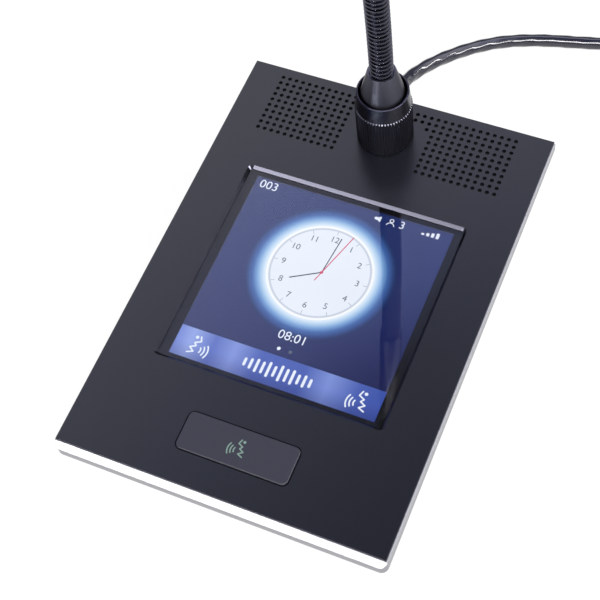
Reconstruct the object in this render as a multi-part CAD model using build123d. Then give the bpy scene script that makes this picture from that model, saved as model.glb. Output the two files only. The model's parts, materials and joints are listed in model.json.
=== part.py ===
from build123d import *
import os
from math import atan2, cos, degrees, pi, radians, sin, tan

os.makedirs("parts", exist_ok=True)

# A conference delegate unit: a thin sloping deck with a square display, a talk button
# and a gooseneck microphone, held up at the rear by a wedge stand. Millimetres, degrees.
# +X is to the right, +Y to the rear and +Z up, and the origin is on the table,
# under the middle of the unit. Deck sizes are given in the plate's own frame:
# x from its centre line, y from its front edge, z from its top face.

# Driving sizes of the deck
deck_width = 140.0
deck_length = 200.0
deck_tilt = 13.7
plate_thick = 1.5
plate_edge_break = 0.2
front_depth = 8.8
rear_depth = 5.6
nose_reach = 2.5
side_lip = 0.6
nose_lift = 1.5
front_corner_radius = 3.0
rear_corner_radius = 1.0

# General fits
overrun = 20.0
slip = 0.1
loose = 0.3

# Display window and talk button
window_width = 100.0
window_length = 98.25
window_rear_gap = 53.75
window_bevel = 1.2
window_corner_radius = 1.0
button_width = 47.75
button_length = 16.6
button_front_gap = 13.5
button_radius = 2.5
button_groove = 0.45
button_proud = 0.8
button_edge_round = 0.5
button_travel = 0.8

# Speaker holes: a square grid each side, with a few more next to the microphone
hole_radius = 0.9
hole_pitch = 3.2
hole_columns = 12
hole_rows = 10
hole_rear_gap = 5.25
hole_side_gap = 15.4
extra_columns = (3, 3, 1)

# Microphone mount
mic_rear_gap = 19.5
socket_radius = 9.2
socket_bore_radius = 8.2

# Frame, cover and pan
frame_wall = 3.0
frame_rib_width = 3.0
front_rib_gap = 9.0
rear_rib_gap = 4.75
cover_thick = 1.2
boss_radius = 3.6
pan_side_gap = 6.0
pan_front_gap = 4.0
pan_rear_gap = 2.75
pan_depth = 17.0
pan_corner_radius = 3.0

# Stand: its wall's place under the deck, and the slope between its foot and its rear wall
stand_side_inset = 6.15
stand_wall = 2.0
stand_rear_inset = 3.22
stand_depth = 35.4
stand_slope_run = 20.0
stand_slope_rise = 20.0
stand_lift = 1.7

# Gooseneck microphone
collar_radius = 12.3
collar_ring_radius = 12.05
collar_knurl_height = 22.0
collar_height = 30.7
cone_radius = 9.45
cone_top_radius = 6.05
cone_base_height = 30.0
cone_height = 43.0
neck_radius = 5.1
neck_root_radius = 4.4
rib_pitch = 2.4
rib_gap = 0.8
lower_ribs = 7
lower_segments = 8
upper_ribs = 5
upper_segments = 4
neck_rest_bend = 8.0
stem_radius = 6.0
stem_length = 130.0
head_radius = 8.0

# Network lead
cable_diameter = 6.4

tilt = radians(deck_tilt)
deck_height = nose_lift + front_depth * cos(tilt) + nose_reach * sin(tilt)
deck_rear_height = deck_height + deck_length * sin(tilt)
nose_y = (plate_thick + nose_reach) * sin(tilt) - nose_reach * cos(tilt)
tail_y = (deck_length + side_lip) * cos(tilt) + rear_depth * sin(tilt)
front_shift = -(nose_y + tail_y) / 2
floor = Location((0, front_shift, 0))
raised = Location((0, 0, deck_height), (deck_tilt, 0, 0))
deck = floor * raised
mic_y = deck_length - mic_rear_gap
mast = deck * Location((0, mic_y, 0))
under_slope = (front_depth - rear_depth) / deck_length
button_y = button_front_gap + button_length / 2
window_rear = deck_length - window_rear_gap
window_front = window_rear - window_length
window_y = (window_front + window_rear) / 2
front_rib_y = window_front - front_rib_gap - frame_rib_width
rear_rib_y = window_rear + rear_rib_gap
stand_half_width = deck_width / 2 - stand_side_inset
stand_rear_y = tail_y - stand_rear_inset
stand_front_y = stand_rear_y - stand_depth
stand_heel_y = stand_rear_y - stand_slope_run
holes_across = hole_pitch * (hole_columns - 1)
holes_along = hole_pitch * (hole_rows - 1)
holes_x = deck_width / 2 - hole_side_gap - holes_across / 2
holes_y = deck_length - hole_rear_gap - holes_along / 2


def under(y):
    """Deck height of the frame's lower face at a distance from the front."""
    return under_slope * y - front_depth


def block(x, y, z):
    """A box between two limits on each axis."""
    size = (x[1] - x[0], y[1] - y[0], z[1] - z[0])
    return Pos(x[0], y[0], z[0]) * Box(*size, align=(Align.MIN, Align.MIN, Align.MIN))


def rod(radius, low, high, at=(0, 0)):
    """An upright cylinder between two heights."""
    upright = (Align.CENTER, Align.CENTER, Align.MIN)
    return Pos(at[0], at[1], low) * Cylinder(radius, high - low, align=upright)


def ring(outer, inner, low, high, at=(0, 0)):
    """An upright tube between two heights."""
    face = Circle(outer) - Circle(inner)
    return Pos(at[0], at[1], low) * extrude(face, high - low)


def pad(width, length, radius, low, high, at=(0, 0)):
    """A flat block with rounded corners between two heights."""
    return Pos(at[0], at[1], low) * extrude(RectangleRounded(width, length, radius), high - low)


def side_profile(points, half_width):
    """A profile in (y, z), drawn out equally to both sides."""
    return extrude(Plane.YZ * make_face(Polyline(*points, close=True)), half_width, both=True)


def turned(points):
    """A closed profile in (radius, z), turned about the vertical axis."""
    return revolve(Plane.XZ * make_face(Polyline(*points, close=True)), Axis.Z)


def above_cover(rise):
    """All the space above a plane that lies a given rise over the frame's lower face."""
    front, rear = -overrun, deck_length + overrun
    points = [(front, under(front) + rise), (rear, under(rear) + rise), (rear, overrun), (front, overrun)]
    return side_profile(points, deck_width)


def write(name, shape, place=deck):
    """Puts a piece, or a list of like pieces, in its place and writes its file."""
    pieces = shape if isinstance(shape, list) else [shape]
    solids = [solid for piece in pieces for solid in (place * piece).solids()]
    export_step(Compound(solids) if len(solids) > 1 else solids[0], f"parts/{name}.step")


# Fasteners: studs and nuts hold the plate, and one size of pan-head screw the rest
stud_radius = 1.25
nut_radius = 2.4
nut_height = 1.6
screw_radius = 1.25
screw_length = 4.5
screw_head_radius = 2.3
screw_head_height = 1.0
screw_hole_radius = screw_radius + slip
stud_x = deck_width / 2 - frame_wall - boss_radius / 2
front_rib_middle = front_rib_y + frame_rib_width / 2
rear_rib_middle = rear_rib_y + frame_rib_width / 2
stud_ys = (2 * boss_radius, front_rib_middle, rear_rib_middle, deck_length - 2 * boss_radius)
stud_places = [(side * stud_x, y) for side in (-1, 1) for y in stud_ys]
cover_screw_x = deck_width / 4
cover_screw_places = [(side * cover_screw_x, y) for side in (-1, 1) for y in (front_rib_middle, rear_rib_middle)]
stand_screw_inset = 5.65
stand_screw_gaps = (33.0, 10.0)
stand_screw_x = stand_half_width - stand_screw_inset
stand_screw_places = [(side * stand_screw_x, deck_length - gap) for side in (-1, 1) for gap in stand_screw_gaps]


def pan_head_screw(length):
    """A screw that points up, with its head's seat at z = 0."""
    head = rod(screw_head_radius, -screw_head_height, 0)
    drive = rod(screw_head_radius / 3, -screw_head_height, -screw_head_height / 2)
    return head - drive + rod(screw_radius, 0, length)


# Top plate: sheet aluminium with every opening cut before it is anodised
def speaker_holes():
    """Centres of the drilled holes, both sides."""
    centres = []
    for row in range(hole_rows):
        extra = extra_columns[row] if row < len(extra_columns) else 0
        for column in range(hole_columns + extra):
            x = holes_x + holes_across / 2 - hole_pitch * column
            y = holes_y + holes_along / 2 - hole_pitch * row
            centres += [(x, y), (-x, y)]
    return centres


def top_plate():
    bevel_inset = 2 * window_bevel
    face = Pos(0, deck_length / 2) * Rectangle(deck_width, deck_length)
    window = RectangleRounded(window_width - bevel_inset, window_length - bevel_inset, window_corner_radius)
    slot_radius = button_radius + button_groove
    slot = RectangleRounded(button_width + 2 * button_groove, button_length + 2 * button_groove, slot_radius)
    face -= Pos(0, window_y) * window
    face -= Pos(0, button_y) * slot
    face -= Pos(0, mic_y) * Circle(socket_radius + loose)
    face -= [Pos(x, y) * Circle(hole_radius) for x, y in speaker_holes()]
    plate = Pos(0, 0, -plate_thick) * extrude(face, plate_thick)
    rim = [edge for edge in plate.edges() if edge.center().Z > -plate_thick / 4]
    inside = [edge for edge in rim if abs(edge.center().X) < window_width / 2]
    window_rim = [edge for edge in inside if abs(edge.center().Y - window_y) < window_length / 2]
    plate = chamfer(window_rim, window_bevel)
    rim = [edge for edge in plate.edges() if edge.center().Z > -plate_thick / 4]
    sides = [edge for edge in rim if abs(edge.center().X) > deck_width / 2 - slip]
    ends = [edge for edge in rim if abs(edge.center().Y - deck_length / 2) > deck_length / 2 - slip]
    plate = chamfer(sides + ends, plate_edge_break)
    for place in stud_places:
        low = under(place[1]) + cover_thick + loose
        plate += rod(stud_radius, low, -plate_thick / 2, place)
    return plate


# Body frame: cast aluminium walls and ribs, with the bright lip cut along the front
def frame_outline():
    width = deck_width + 2 * side_lip
    block_y = (-nose_reach, deck_length + side_lip)
    shape = block((-width / 2, width / 2), block_y, (-front_depth, -plate_thick))
    upright = shape.edges().filter_by(Axis.Z)
    rear = [edge for edge in upright if edge.center().Y > deck_length / 2]
    shape = fillet(rear, rear_corner_radius)
    front = [edge for edge in shape.edges().filter_by(Axis.Z) if edge.center().Y < 0]
    return fillet(front, front_corner_radius)


stand_boss_radius = 3.0
stand_boss_top = -2.6
stand_web_width = 3.0
nut_pocket_radius = nut_radius + loose


def nut_pocket_top(y):
    """Deck height of the flat face that a nut is tightened against."""
    return under(y) + cover_thick + slip + nut_height


def slant_cut():
    """All that lies outside the plane y = 0 and above a face that slants down from it at 45 degrees."""
    points = [(0, overrun), (0, 0), (-overrun, -overrun), (-overrun, overrun)]
    return side_profile(points, deck_length + overrun)


def frame_bosses():
    """Cross ribs, stud bosses, and the bosses that the cover and the stand are screwed to."""
    rib_x = deck_width / 2 - frame_wall / 2
    pieces = []
    for y in (front_rib_y, rear_rib_y):
        pieces.append(block((-rib_x, rib_x), (y, y + frame_rib_width), (-front_depth, -plate_thick)))
    for place in stud_places + cover_screw_places:
        pieces.append(rod(boss_radius, -front_depth, -plate_thick, place))
    for x, y in stand_screw_places:
        web_x = (min(x, rib_x), max(x, rib_x)) if x > 0 else (min(x, -rib_x), max(x, -rib_x))
        web_y = (y - stand_web_width / 2, y + stand_web_width / 2)
        pieces.append(rod(stand_boss_radius, -front_depth, stand_boss_top, (x, y)))
        pieces.append(block(web_x, web_y, (-front_depth, stand_boss_top)))
    return pieces


def body_frame():
    shape = frame_outline()
    half = deck_width / 2
    edges = ((0, 0, 0), (0, deck_length, 180), (half, deck_length / 2, 90), (-half, deck_length / 2, -90))
    for x, y, turn in edges:
        shape -= Pos(x, y, -plate_thick) * Rot(0, 0, turn) * slant_cut()
    shape &= above_cover(0)
    inner = (deck_width - 2 * frame_wall, deck_length - 2 * frame_wall)
    low = -front_depth - overrun
    shape -= pad(*inner, frame_wall, low, 0, (0, deck_length / 2))
    for piece in frame_bosses():
        shape += piece & above_cover(cover_thick + slip)
    for place in stud_places:
        shape -= rod(stud_radius + slip, low, 0, place)
        shape -= rod(nut_pocket_radius, low, nut_pocket_top(place[1]), place)
    for place in cover_screw_places:
        shape -= rod(screw_hole_radius, low, 0, place)
    for place in stand_screw_places:
        shape -= rod(screw_hole_radius, low, stand_boss_top + slip, place)
    return shape


def plate_nuts():
    nuts = []
    for place in stud_places:
        nut = extrude(RegularPolygon(nut_radius, 6) - Circle(stud_radius + slip / 2), -nut_height)
        nuts.append(Pos(*place, nut_pocket_top(place[1])) * nut)
    return nuts


# Bottom cover: pressed sheet with a pan for the circuit board and a bay for speakers and socket
speaker_inset = 1.0
speaker_front_shift = 3.85
speaker_size = (36.0, 24.0)
speaker_x = holes_x - speaker_inset
speaker_y = holes_y - speaker_front_shift
bay_ease = 0.6
bay_half_width = speaker_x + speaker_size[0] / 2 + bay_ease
bay_front_y = speaker_y - speaker_size[1] / 2 - bay_ease
bay_rear_y = mic_y + socket_radius + bay_ease
pan_half_width = window_width / 2 + pan_side_gap
pan_front_y = window_front - pan_front_gap
pan_rear_y = window_rear + pan_rear_gap
board_margin = (1.0, -3.1)
board_post_inset = (3.0, 8.0)
board_thick = 1.6
board_low = -12.1
board_post_radius = 2.6


def around_window(margin):
    """A width and a length that stand out from the window by a margin each way."""
    return (window_width + 2 * margin[0], window_length + 2 * margin[1])


board_size = around_window(board_margin)
board_post_x = board_size[0] / 2 - board_post_inset[0]
board_post_reach = board_size[1] / 2 - board_post_inset[1]
board_posts = [(side * board_post_x, window_y + end * board_post_reach) for side in (-1, 1) for end in (-1, 1)]


def bottom_cover():
    inner = (deck_width - 2 * frame_wall - 2 * loose, deck_length - 2 * frame_wall - 2 * loose)
    sheet = pad(*inner, frame_wall, -front_depth - overrun, 0, (0, deck_length / 2))
    sheet &= above_cover(0)
    sheet -= above_cover(cover_thick)
    pan_middle = (0, (pan_front_y + pan_rear_y) / 2)
    pan_size = (2 * pan_half_width, pan_rear_y - pan_front_y)
    pan = pad(*pan_size, pan_corner_radius, -pan_depth, 0, pan_middle)
    low_rim = [edge for edge in pan.edges() if edge.center().Z < -pan_depth + slip]
    pan = fillet(low_rim, cover_thick) - above_cover(cover_thick)
    hollow_size = (pan_size[0] - 2 * cover_thick, pan_size[1] - 2 * cover_thick)
    hollow = pad(*hollow_size, pan_corner_radius - cover_thick, cover_thick - pan_depth, 0, pan_middle)
    cover = sheet + pan - hollow
    cover -= block((-bay_half_width, bay_half_width), (bay_front_y, bay_rear_y), (-pan_depth, 0))
    for place in board_posts:
        cover += rod(board_post_radius, cover_thick / 2 - pan_depth, board_low, place)
    for place in board_posts + cover_screw_places + stand_screw_places:
        cover -= rod(screw_hole_radius, -pan_depth - overrun, 0, place)
    return cover


def board_screws():
    """Long screws through the pan, the board and its standoffs into the display's backing plate."""
    screw = pan_head_screw(pan_depth + lcd_low - slip)
    return [Pos(*place, -pan_depth) * screw for place in board_posts]


# Stand: die-cast wedge under the rear, open at the top and at the back
def stand_points(inset):
    """Its side profile in (y, z) over the table, inside the outer face by an inset."""
    slope = atan2(stand_slope_rise, stand_slope_run)
    knee = inset * tan((pi / 2 - slope) / 2)
    heel = inset * tan(slope / 2)
    return [
        (stand_front_y + inset, stand_lift + inset),
        (stand_heel_y - heel, stand_lift + inset),
        (stand_rear_y - inset, stand_lift + stand_slope_rise + knee),
        (stand_rear_y - inset, deck_rear_height),
        (stand_front_y + inset, deck_rear_height),
    ]


def rim_height(y):
    """Height over the table of the frame's lower face, at a distance behind the plate's front edge."""
    along = (y - front_depth * sin(tilt)) / (cos(tilt) - under_slope * sin(tilt))
    return deck_height + along * sin(tilt) + under(along) * cos(tilt)


panel_thick = 1.5
panel_side_gap = 5.85
panel_low_gap = 1.3
panel_high_gap = 4.7
panel_half_width = stand_half_width - panel_side_gap
panel_low = stand_lift + stand_slope_rise + panel_low_gap
panel_high = rim_height(stand_rear_y) - panel_high_gap
panel_lap = 2.0
panel_corner_radius = 2.0
panel_screw_z = (panel_low + panel_high) / 2
panel_screw_x = panel_half_width - panel_lap
panel_boss_radius = 3.0
panel_boss_length = 6.0
stand_tab_thick = 1.6
stand_tab_reach = 3.6


def facing_rear(shape, x, y, z):
    """Turns an upright piece so that its top faces the rear, and puts it in place."""
    return Pos(x, y, z) * Rot(-90, 0, 0) * shape


def stand_tabs():
    """Four tabs inside the rim, in the deck's frame, each with its screw hole."""
    tabs = []
    for x, y in stand_screw_places:
        wall_x = stand_half_width - stand_wall / 2
        inner_x = stand_screw_x - stand_tab_reach
        x_limits = (inner_x, wall_x) if x > 0 else (-wall_x, -inner_x)
        z_limits = (under(y) - stand_tab_thick, 0)
        tab = block(x_limits, (y - stand_tab_reach, y + stand_tab_reach), z_limits)
        tabs.append(tab - rod(screw_hole_radius, -front_depth - overrun, 0, (x, y)))
    return tabs


def stand_shell():
    outer = side_profile(stand_points(0), stand_half_width)
    low_rim = [edge for edge in outer.edges().filter_by(Axis.X) if edge.center().Z < stand_lift + stand_wall]
    outer = fillet(low_rim, stand_wall / 2)
    shell = outer - side_profile(stand_points(stand_wall), stand_half_width - stand_wall)
    opening_half = panel_half_width - 2 * panel_lap
    opening_z = (panel_low + panel_lap, panel_high - panel_lap)
    opening_y = (stand_rear_y - 2 * stand_wall, stand_rear_y + overrun)
    shell -= block((-opening_half, opening_half), opening_y, opening_z)
    for side in (-1, 1):
        at = (side * panel_screw_x, stand_rear_y, panel_screw_z)
        shell += facing_rear(rod(panel_boss_radius, -panel_boss_length, 0), *at)
        shell -= facing_rear(rod(screw_hole_radius, -panel_boss_length - slip, overrun), *at)
    for x in (-connector_post_x, connector_post_x):
        shell += rod(board_post_radius, stand_lift + stand_wall / 2, connector_board_z, (x, connector_post_y))
    for tab in stand_tabs():
        shell += raised * tab
    return shell - raised * above_cover(0)


# Connector board in the stand, with two network sockets behind the rear panel
socket_ease = 0.5
connector_board_z = panel_low + panel_lap + socket_ease - board_thick
connector_board_half = 48.0
connector_board_gaps = (25.0, 4.0)
connector_post_inset = (8.0, 4.0)
connector_board_y = [stand_rear_y - gap for gap in connector_board_gaps]
connector_post_x = connector_board_half - connector_post_inset[0]
connector_post_y = connector_board_y[0] + connector_post_inset[1]
socket_block_width = 14.4
socket_block_height = 13.0
socket_block_depth = 16.4
jack_width = 11.9
jack_height = 8.2
jack_depth = 13.5
jack_wall = 1.4
jack_xs = (-20.0, -35.0)
socket_face_y = stand_rear_y + panel_thick + loose
jack_low = connector_board_z + board_thick + jack_wall
jack_z = jack_low + jack_height / 2


def rear_panel():
    width, height = 2 * panel_half_width, panel_high - panel_low
    sheet = pad(width, height, panel_corner_radius, 0, panel_thick)
    panel = facing_rear(sheet, 0, stand_rear_y, panel_screw_z)
    left = min(jack_xs) - socket_block_width / 2 - loose
    right = max(jack_xs) + socket_block_width / 2 + loose
    low = connector_board_z + board_thick
    z_limits = (low - loose, low + socket_block_height + loose)
    panel -= block((left, right), (stand_rear_y - overrun, stand_rear_y + overrun), z_limits)
    for side in (-1, 1):
        hole = rod(screw_hole_radius, -overrun, overrun)
        panel -= facing_rear(hole, side * panel_screw_x, stand_rear_y, panel_screw_z)
    return panel


def connector_board():
    half = connector_board_half
    return block((-half, half), connector_board_y, (connector_board_z, connector_board_z + board_thick))


def network_sockets():
    sockets = []
    low = connector_board_z + board_thick
    for x in jack_xs:
        x_limits = (x - socket_block_width / 2, x + socket_block_width / 2)
        body = block(x_limits, (socket_face_y - socket_block_depth, socket_face_y), (low, low + socket_block_height))
        jack_x = (x - jack_width / 2, x + jack_width / 2)
        jack = block(jack_x, (socket_face_y - jack_depth, socket_face_y + overrun), (jack_low, jack_low + jack_height))
        sockets.append(body - jack)
    return sockets


def case_screws():
    """The same screw through the cover, through the stand's tabs and through the rear panel."""
    screws = []
    for x, y in cover_screw_places:
        seat = under(y) - under_slope * screw_head_radius
        screws.append(raised * Pos(x, y, seat) * pan_head_screw(screw_length))
    for x, y in stand_screw_places:
        screws.append(raised * Pos(x, y, under(y) - stand_tab_thick) * pan_head_screw(screw_length))
    for side in (-1, 1):
        screw = Rot(180, 0, 0) * pan_head_screw(screw_length)
        screws.append(facing_rear(screw, side * panel_screw_x, stand_rear_y + panel_thick, panel_screw_z))
    return screws


# Rubber feet: a strip under the front wall and a pad at each end of the stand
front_foot_y = (1.0, 9.0)
front_foot_half = 50.0
rear_foot_x = 46.0
rear_foot_size = (28.0, 10.0)


def front_foot():
    half = front_foot_half
    strip = block((-half, half), front_foot_y, (0, overrun))
    strip = fillet(strip.edges().filter_by(Axis.Z), (front_foot_y[1] - front_foot_y[0]) / 3)
    return strip - raised * above_cover(0)


def rear_feet():
    middle = (stand_front_y + stand_heel_y) / 2
    return [
        pad(*rear_foot_size, rear_foot_size[1] / 2 - slip, 0, stand_lift, (side * rear_foot_x, middle))
        for side in (-1, 1)
    ]


# Display stack: cover glass, foam gasket, panel, backing plate, ribbon and main board
glass_margin = 2.0
glass_thick = 1.8
gasket_thick = 0.7
gasket_margin = (-4.0, -2.1)
lcd_margin = (-1.0, 0.9)
lcd_thick = 2.6
bracket_thick = 1.0
bracket_margin = (3.0, 0.4)
bracket_shift = 1.0
glass_size = around_window((glass_margin, glass_margin))
lcd_size = around_window(lcd_margin)
glass_low = -plate_thick - glass_thick
lcd_top = glass_low - gasket_thick
lcd_low = lcd_top - lcd_thick
bracket_low = lcd_low - bracket_thick
board_top = board_low + board_thick
ribbon_thick = 0.3
ribbon_half_width = 12.0
ribbon_reach = 1.0
ribbon_tail = 10.0
ribbon_plug_height = 1.1


def cover_glass():
    return pad(*glass_size, glass_margin, glass_low, -plate_thick, (0, window_y))


def glass_gasket():
    outer = RectangleRounded(*glass_size, glass_margin)
    return Pos(0, window_y, lcd_top) * extrude(outer - Rectangle(*around_window(gasket_margin)), gasket_thick)


def lcd_module():
    return pad(*lcd_size, window_corner_radius, lcd_low, lcd_top, (0, window_y))


def display_bracket():
    size = around_window(bracket_margin)
    plate = pad(*size, window_corner_radius, bracket_low, lcd_low, (0, window_y + bracket_shift))
    for place in board_posts:
        plate -= rod(screw_hole_radius, bracket_low, lcd_low, place)
    return plate


def display_flex():
    """A ribbon from the panel's front edge, round and back under it to the main board."""
    edge = window_y - lcd_size[1] / 2
    high = lcd_low + lcd_thick / 3
    low = board_top + ribbon_plug_height
    tail = edge + ribbon_tail
    points = [
        (edge, high),
        (edge - ribbon_reach, high),
        (edge - ribbon_reach, low),
        (tail, low),
        (tail, low + ribbon_thick),
        (edge - ribbon_reach + ribbon_thick, low + ribbon_thick),
        (edge - ribbon_reach + ribbon_thick, high - ribbon_thick),
        (edge, high - ribbon_thick),
    ]
    return side_profile(points, ribbon_half_width)


def main_board():
    board = pad(*board_size, window_corner_radius, board_low, board_top, (0, window_y))
    for place in board_posts:
        board -= rod(screw_hole_radius, board_low, board_top, place)
    return board


processor_size = (15.0, 15.0, 1.4)
memory_size = (10.0, 13.0, 1.1)
coil_size = (7.0, 7.0, 2.4)
header_size = (26.0, 5.0)
capacitor_radius = 2.0
capacitor_height = 2.6
capacitor_count = 4


def chip(size, at):
    """A package that stands on the main board."""
    half = (size[0] / 2, size[1] / 2)
    x_limits = (at[0] - half[0], at[0] + half[0])
    return block(x_limits, (at[1] - half[1], at[1] + half[1]), (board_top, board_top + size[2]))


def board_parts():
    across, along = board_size[0] / 5, board_size[1] / 5
    header_y = window_y - lcd_size[1] / 2 + ribbon_tail - header_size[1] / 2
    parts = [
        chip(processor_size, (0, window_y)),
        chip(memory_size, (across, window_y)),
        chip(memory_size, (across, window_y + along)),
        chip(processor_size, (-across, window_y + along)),
        chip(coil_size, (-across * 2 + board_post_radius, window_y)),
        chip((*header_size, ribbon_plug_height), (0, header_y)),
    ]
    for step in range(capacitor_count):
        at = (across * 2 - board_post_radius, window_y - along + step * along / 2)
        parts.append(rod(capacitor_radius, board_top, board_top + capacitor_height, at))
    return parts


def board_standoffs():
    return [ring(board_post_radius, screw_hole_radius, board_top, bracket_low, place) for place in board_posts]


# Talk button: moulded cap, clear light pipe, and two stems over two switches
flange_margin = 1.6
flange_thick = 1.0
stem_pad_height = 0.8
stem_x = 14.0
stem_radius_of_switch = 1.5
switch_size = 6.0
switch_height = 1.6
switch_board_thick = 1.0
switch_board_size = (42.0, 13.0)
light_pipe_size = (12.0, 10.0)
cap_skin = 0.35
flange_top = -plate_thick - slip
flange_low = flange_top - flange_thick
stem_pad_low = flange_low - stem_pad_height
stem_top = stem_pad_low - slip / 2
switch_board_low = under(button_y) + cover_thick + loose
switch_board_top = switch_board_low + switch_board_thick
switch_top = switch_board_top + switch_height
stem_low = switch_board_top + 2 * slip + button_travel


def talk_button():
    cap = pad(button_width, button_length, button_radius, flange_low, button_proud, (0, button_y))
    top = [edge for edge in cap.edges() if edge.center().Z > button_proud - slip]
    cap = fillet(top, button_edge_round)
    flange = (button_width + 2 * flange_margin, button_length + 2 * flange_margin)
    cap += pad(*flange, button_radius, flange_low, flange_top, (0, button_y))
    for side in (-1, 1):
        cap += rod(2 * stem_radius_of_switch, stem_pad_low, flange_low, (side * stem_x, button_y))
    pocket = (light_pipe_size[0] + 2 * slip, light_pipe_size[1] + 2 * slip)
    return cap - pad(*pocket, window_corner_radius, flange_low, button_proud - cap_skin, (0, button_y))


def button_light_pipe():
    high = button_proud - cap_skin
    return pad(*light_pipe_size, window_corner_radius, flange_low, high, (0, button_y))


def button_board():
    return pad(*switch_board_size, window_corner_radius, switch_board_low, switch_board_top, (0, button_y))


def button_switches():
    switches = []
    for side in (-1, 1):
        at = (side * stem_x, button_y)
        body = pad(switch_size, switch_size, slip, switch_board_top, switch_top, at)
        switches.append(body - rod(stem_radius_of_switch + slip, switch_board_top + slip, switch_top, at))
    return switches


def switch_stems():
    return [rod(stem_radius_of_switch, stem_low, stem_top, (side * stem_x, button_y)) for side in (-1, 1)]


# Speakers: a flat oval driver each side, behind cloth
speaker_radius = 8.0
speaker_rim = 2.4
speaker_depth = 6.0
speaker_wall = 1.0
cloth_margin = 1.1
cloth_thick = 0.3
cone_throat_radius = 6.0
cone_wall = 0.5
cone_drop = 4.0
magnet_radius = 9.0
magnet_thick = 4.0
basket_top = -plate_thick - cloth_thick
basket_low = basket_top - speaker_depth


def grille_cloth():
    beyond = 2 * (hole_radius + cloth_margin)
    size = (holes_across + beyond, holes_along + beyond)
    middles = [(side * holes_x, holes_y) for side in (-1, 1)]
    return [pad(*size, window_corner_radius, basket_top, -plate_thick, middle) for middle in middles]


def speaker_basket(side):
    at = (side * speaker_x, speaker_y)
    shape = pad(*speaker_size, speaker_radius, basket_low, basket_top, at)
    inner = (speaker_size[0] - 2 * speaker_rim, speaker_size[1] - 2 * speaker_rim)
    hollow = pad(*inner, speaker_radius - speaker_rim, basket_low + speaker_wall, 0, at)
    return shape - hollow - rod(cone_throat_radius, basket_low - speaker_wall, 0, at)


def speaker_cone(side):
    """A shallow paper cone with its dust cap, inside the basket's rim."""
    rim_radius = speaker_size[1] / 2 - speaker_rim - loose
    top = basket_top - speaker_wall
    throat = cone_throat_radius - loose
    points = [
        (0, top - cone_drop + cone_wall),
        (throat, top - cone_drop + cone_wall),
        (rim_radius, top),
        (rim_radius, top - cone_wall),
        (throat, top - cone_drop),
        (throat, basket_low + slip),
        (throat - cone_wall, basket_low + slip),
        (throat - cone_wall, top - cone_drop),
        (0, top - cone_drop),
    ]
    return Pos(side * speaker_x, speaker_y, 0) * turned(points)


def speaker_magnet(side):
    return rod(magnet_radius, basket_low - magnet_thick, basket_low, (side * speaker_x, speaker_y))


# Microphone socket through the plate, its ring nut, and the plug that stands in it
socket_top = 9.0
socket_low = -22.0
socket_flange_radius = 13.0
socket_flange_thick = 2.0
socket_floor = 5.0
pin_radius = 0.8
pin_circle_radius = 4.5
pin_length = 12.0
pin_count = 3
socket_nut_radius = 11.2
socket_nut_height = 2.5
plug_low = -10.0
plug_flange_radius = 10.2
plug_flange_low = socket_top + slip
plug_flange_thick = 3.0
plug_top = plug_flange_low + plug_flange_thick
wire_radius = 2.0
pin_places = [
    (pin_circle_radius * cos(2 * pi * step / pin_count), pin_circle_radius * sin(2 * pi * step / pin_count))
    for step in range(pin_count)
]


def mic_socket():
    body = rod(socket_radius, socket_low, socket_top)
    body += rod(socket_flange_radius, -plate_thick - socket_flange_thick, -plate_thick)
    body -= rod(socket_bore_radius, socket_low + socket_floor, socket_top)
    for place in pin_places:
        body += rod(pin_radius, socket_low + socket_floor / 2, socket_low + socket_floor + pin_length, place)
    return body


def socket_nut():
    return ring(socket_nut_radius, socket_radius + slip / 2, 0, socket_nut_height)


def mic_plug():
    body = rod(socket_bore_radius - slip, plug_low, plug_flange_low + slip)
    body += rod(plug_flange_radius, plug_flange_low, plug_top)
    for place in pin_places:
        body -= rod(pin_radius + slip, plug_low, socket_low + socket_floor + pin_length + loose, place)
    return body


# Locking collar: knurled and turned from bar, free to turn over the plug's flange
knurl_count = 60
knurl_depth = 0.35
collar_lift = 0.3
collar_chamfer = 0.6
collar_mouth_radius = 10.5
collar_lip_radius = 9.7
collar_lip_thick = 1.5


def lock_collar():
    points = []
    for step in range(knurl_count):
        for share, radius in ((0, collar_radius), (0.5, collar_radius - knurl_depth)):
            angle = 2 * pi * (step + share) / knurl_count
            points.append((radius * cos(angle), radius * sin(angle)))
    knurl = Pos(0, 0, collar_lift) * extrude(make_face(Polyline(*points, close=True)), collar_knurl_height)
    smooth = rod(collar_ring_radius, collar_knurl_height, collar_height)
    top = [edge for edge in smooth.edges() if edge.center().Z > collar_height - slip]
    collar = knurl + chamfer(top, collar_chamfer)
    lip_low = plug_top + slip
    collar -= rod(socket_nut_radius + loose, 0, socket_nut_height + loose)
    collar -= rod(socket_radius + slip, 0, plug_flange_low)
    collar -= rod(plug_flange_radius + slip, plug_flange_low - slip, lip_low)
    collar -= rod(collar_lip_radius, 0, collar_height)
    return collar - rod(collar_mouth_radius, lip_low + collar_lip_thick, collar_height)


# Cone sleeve: turned aluminium that grips the foot of the gooseneck
neck_socket_depth = 7.0


def cone_sleeve():
    socket = neck_radius + slip
    floor_z = cone_height - neck_socket_depth
    points = [
        (wire_radius, plug_top),
        (cone_radius, plug_top),
        (cone_radius, cone_base_height),
        (cone_top_radius, cone_height),
        (socket, cone_height),
        (socket, floor_z),
        (wire_radius, floor_z),
    ]
    return turned(points)


# Gooseneck: short ribbed links in a chain, each with a peg inside the next one's bore
peg_radius = 3.1
peg_reach = 2.0
bore_radius = 3.6
bore_depth = 3.3
rib_length = rib_pitch - rib_gap
rib_slope = rib_length / 4


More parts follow.
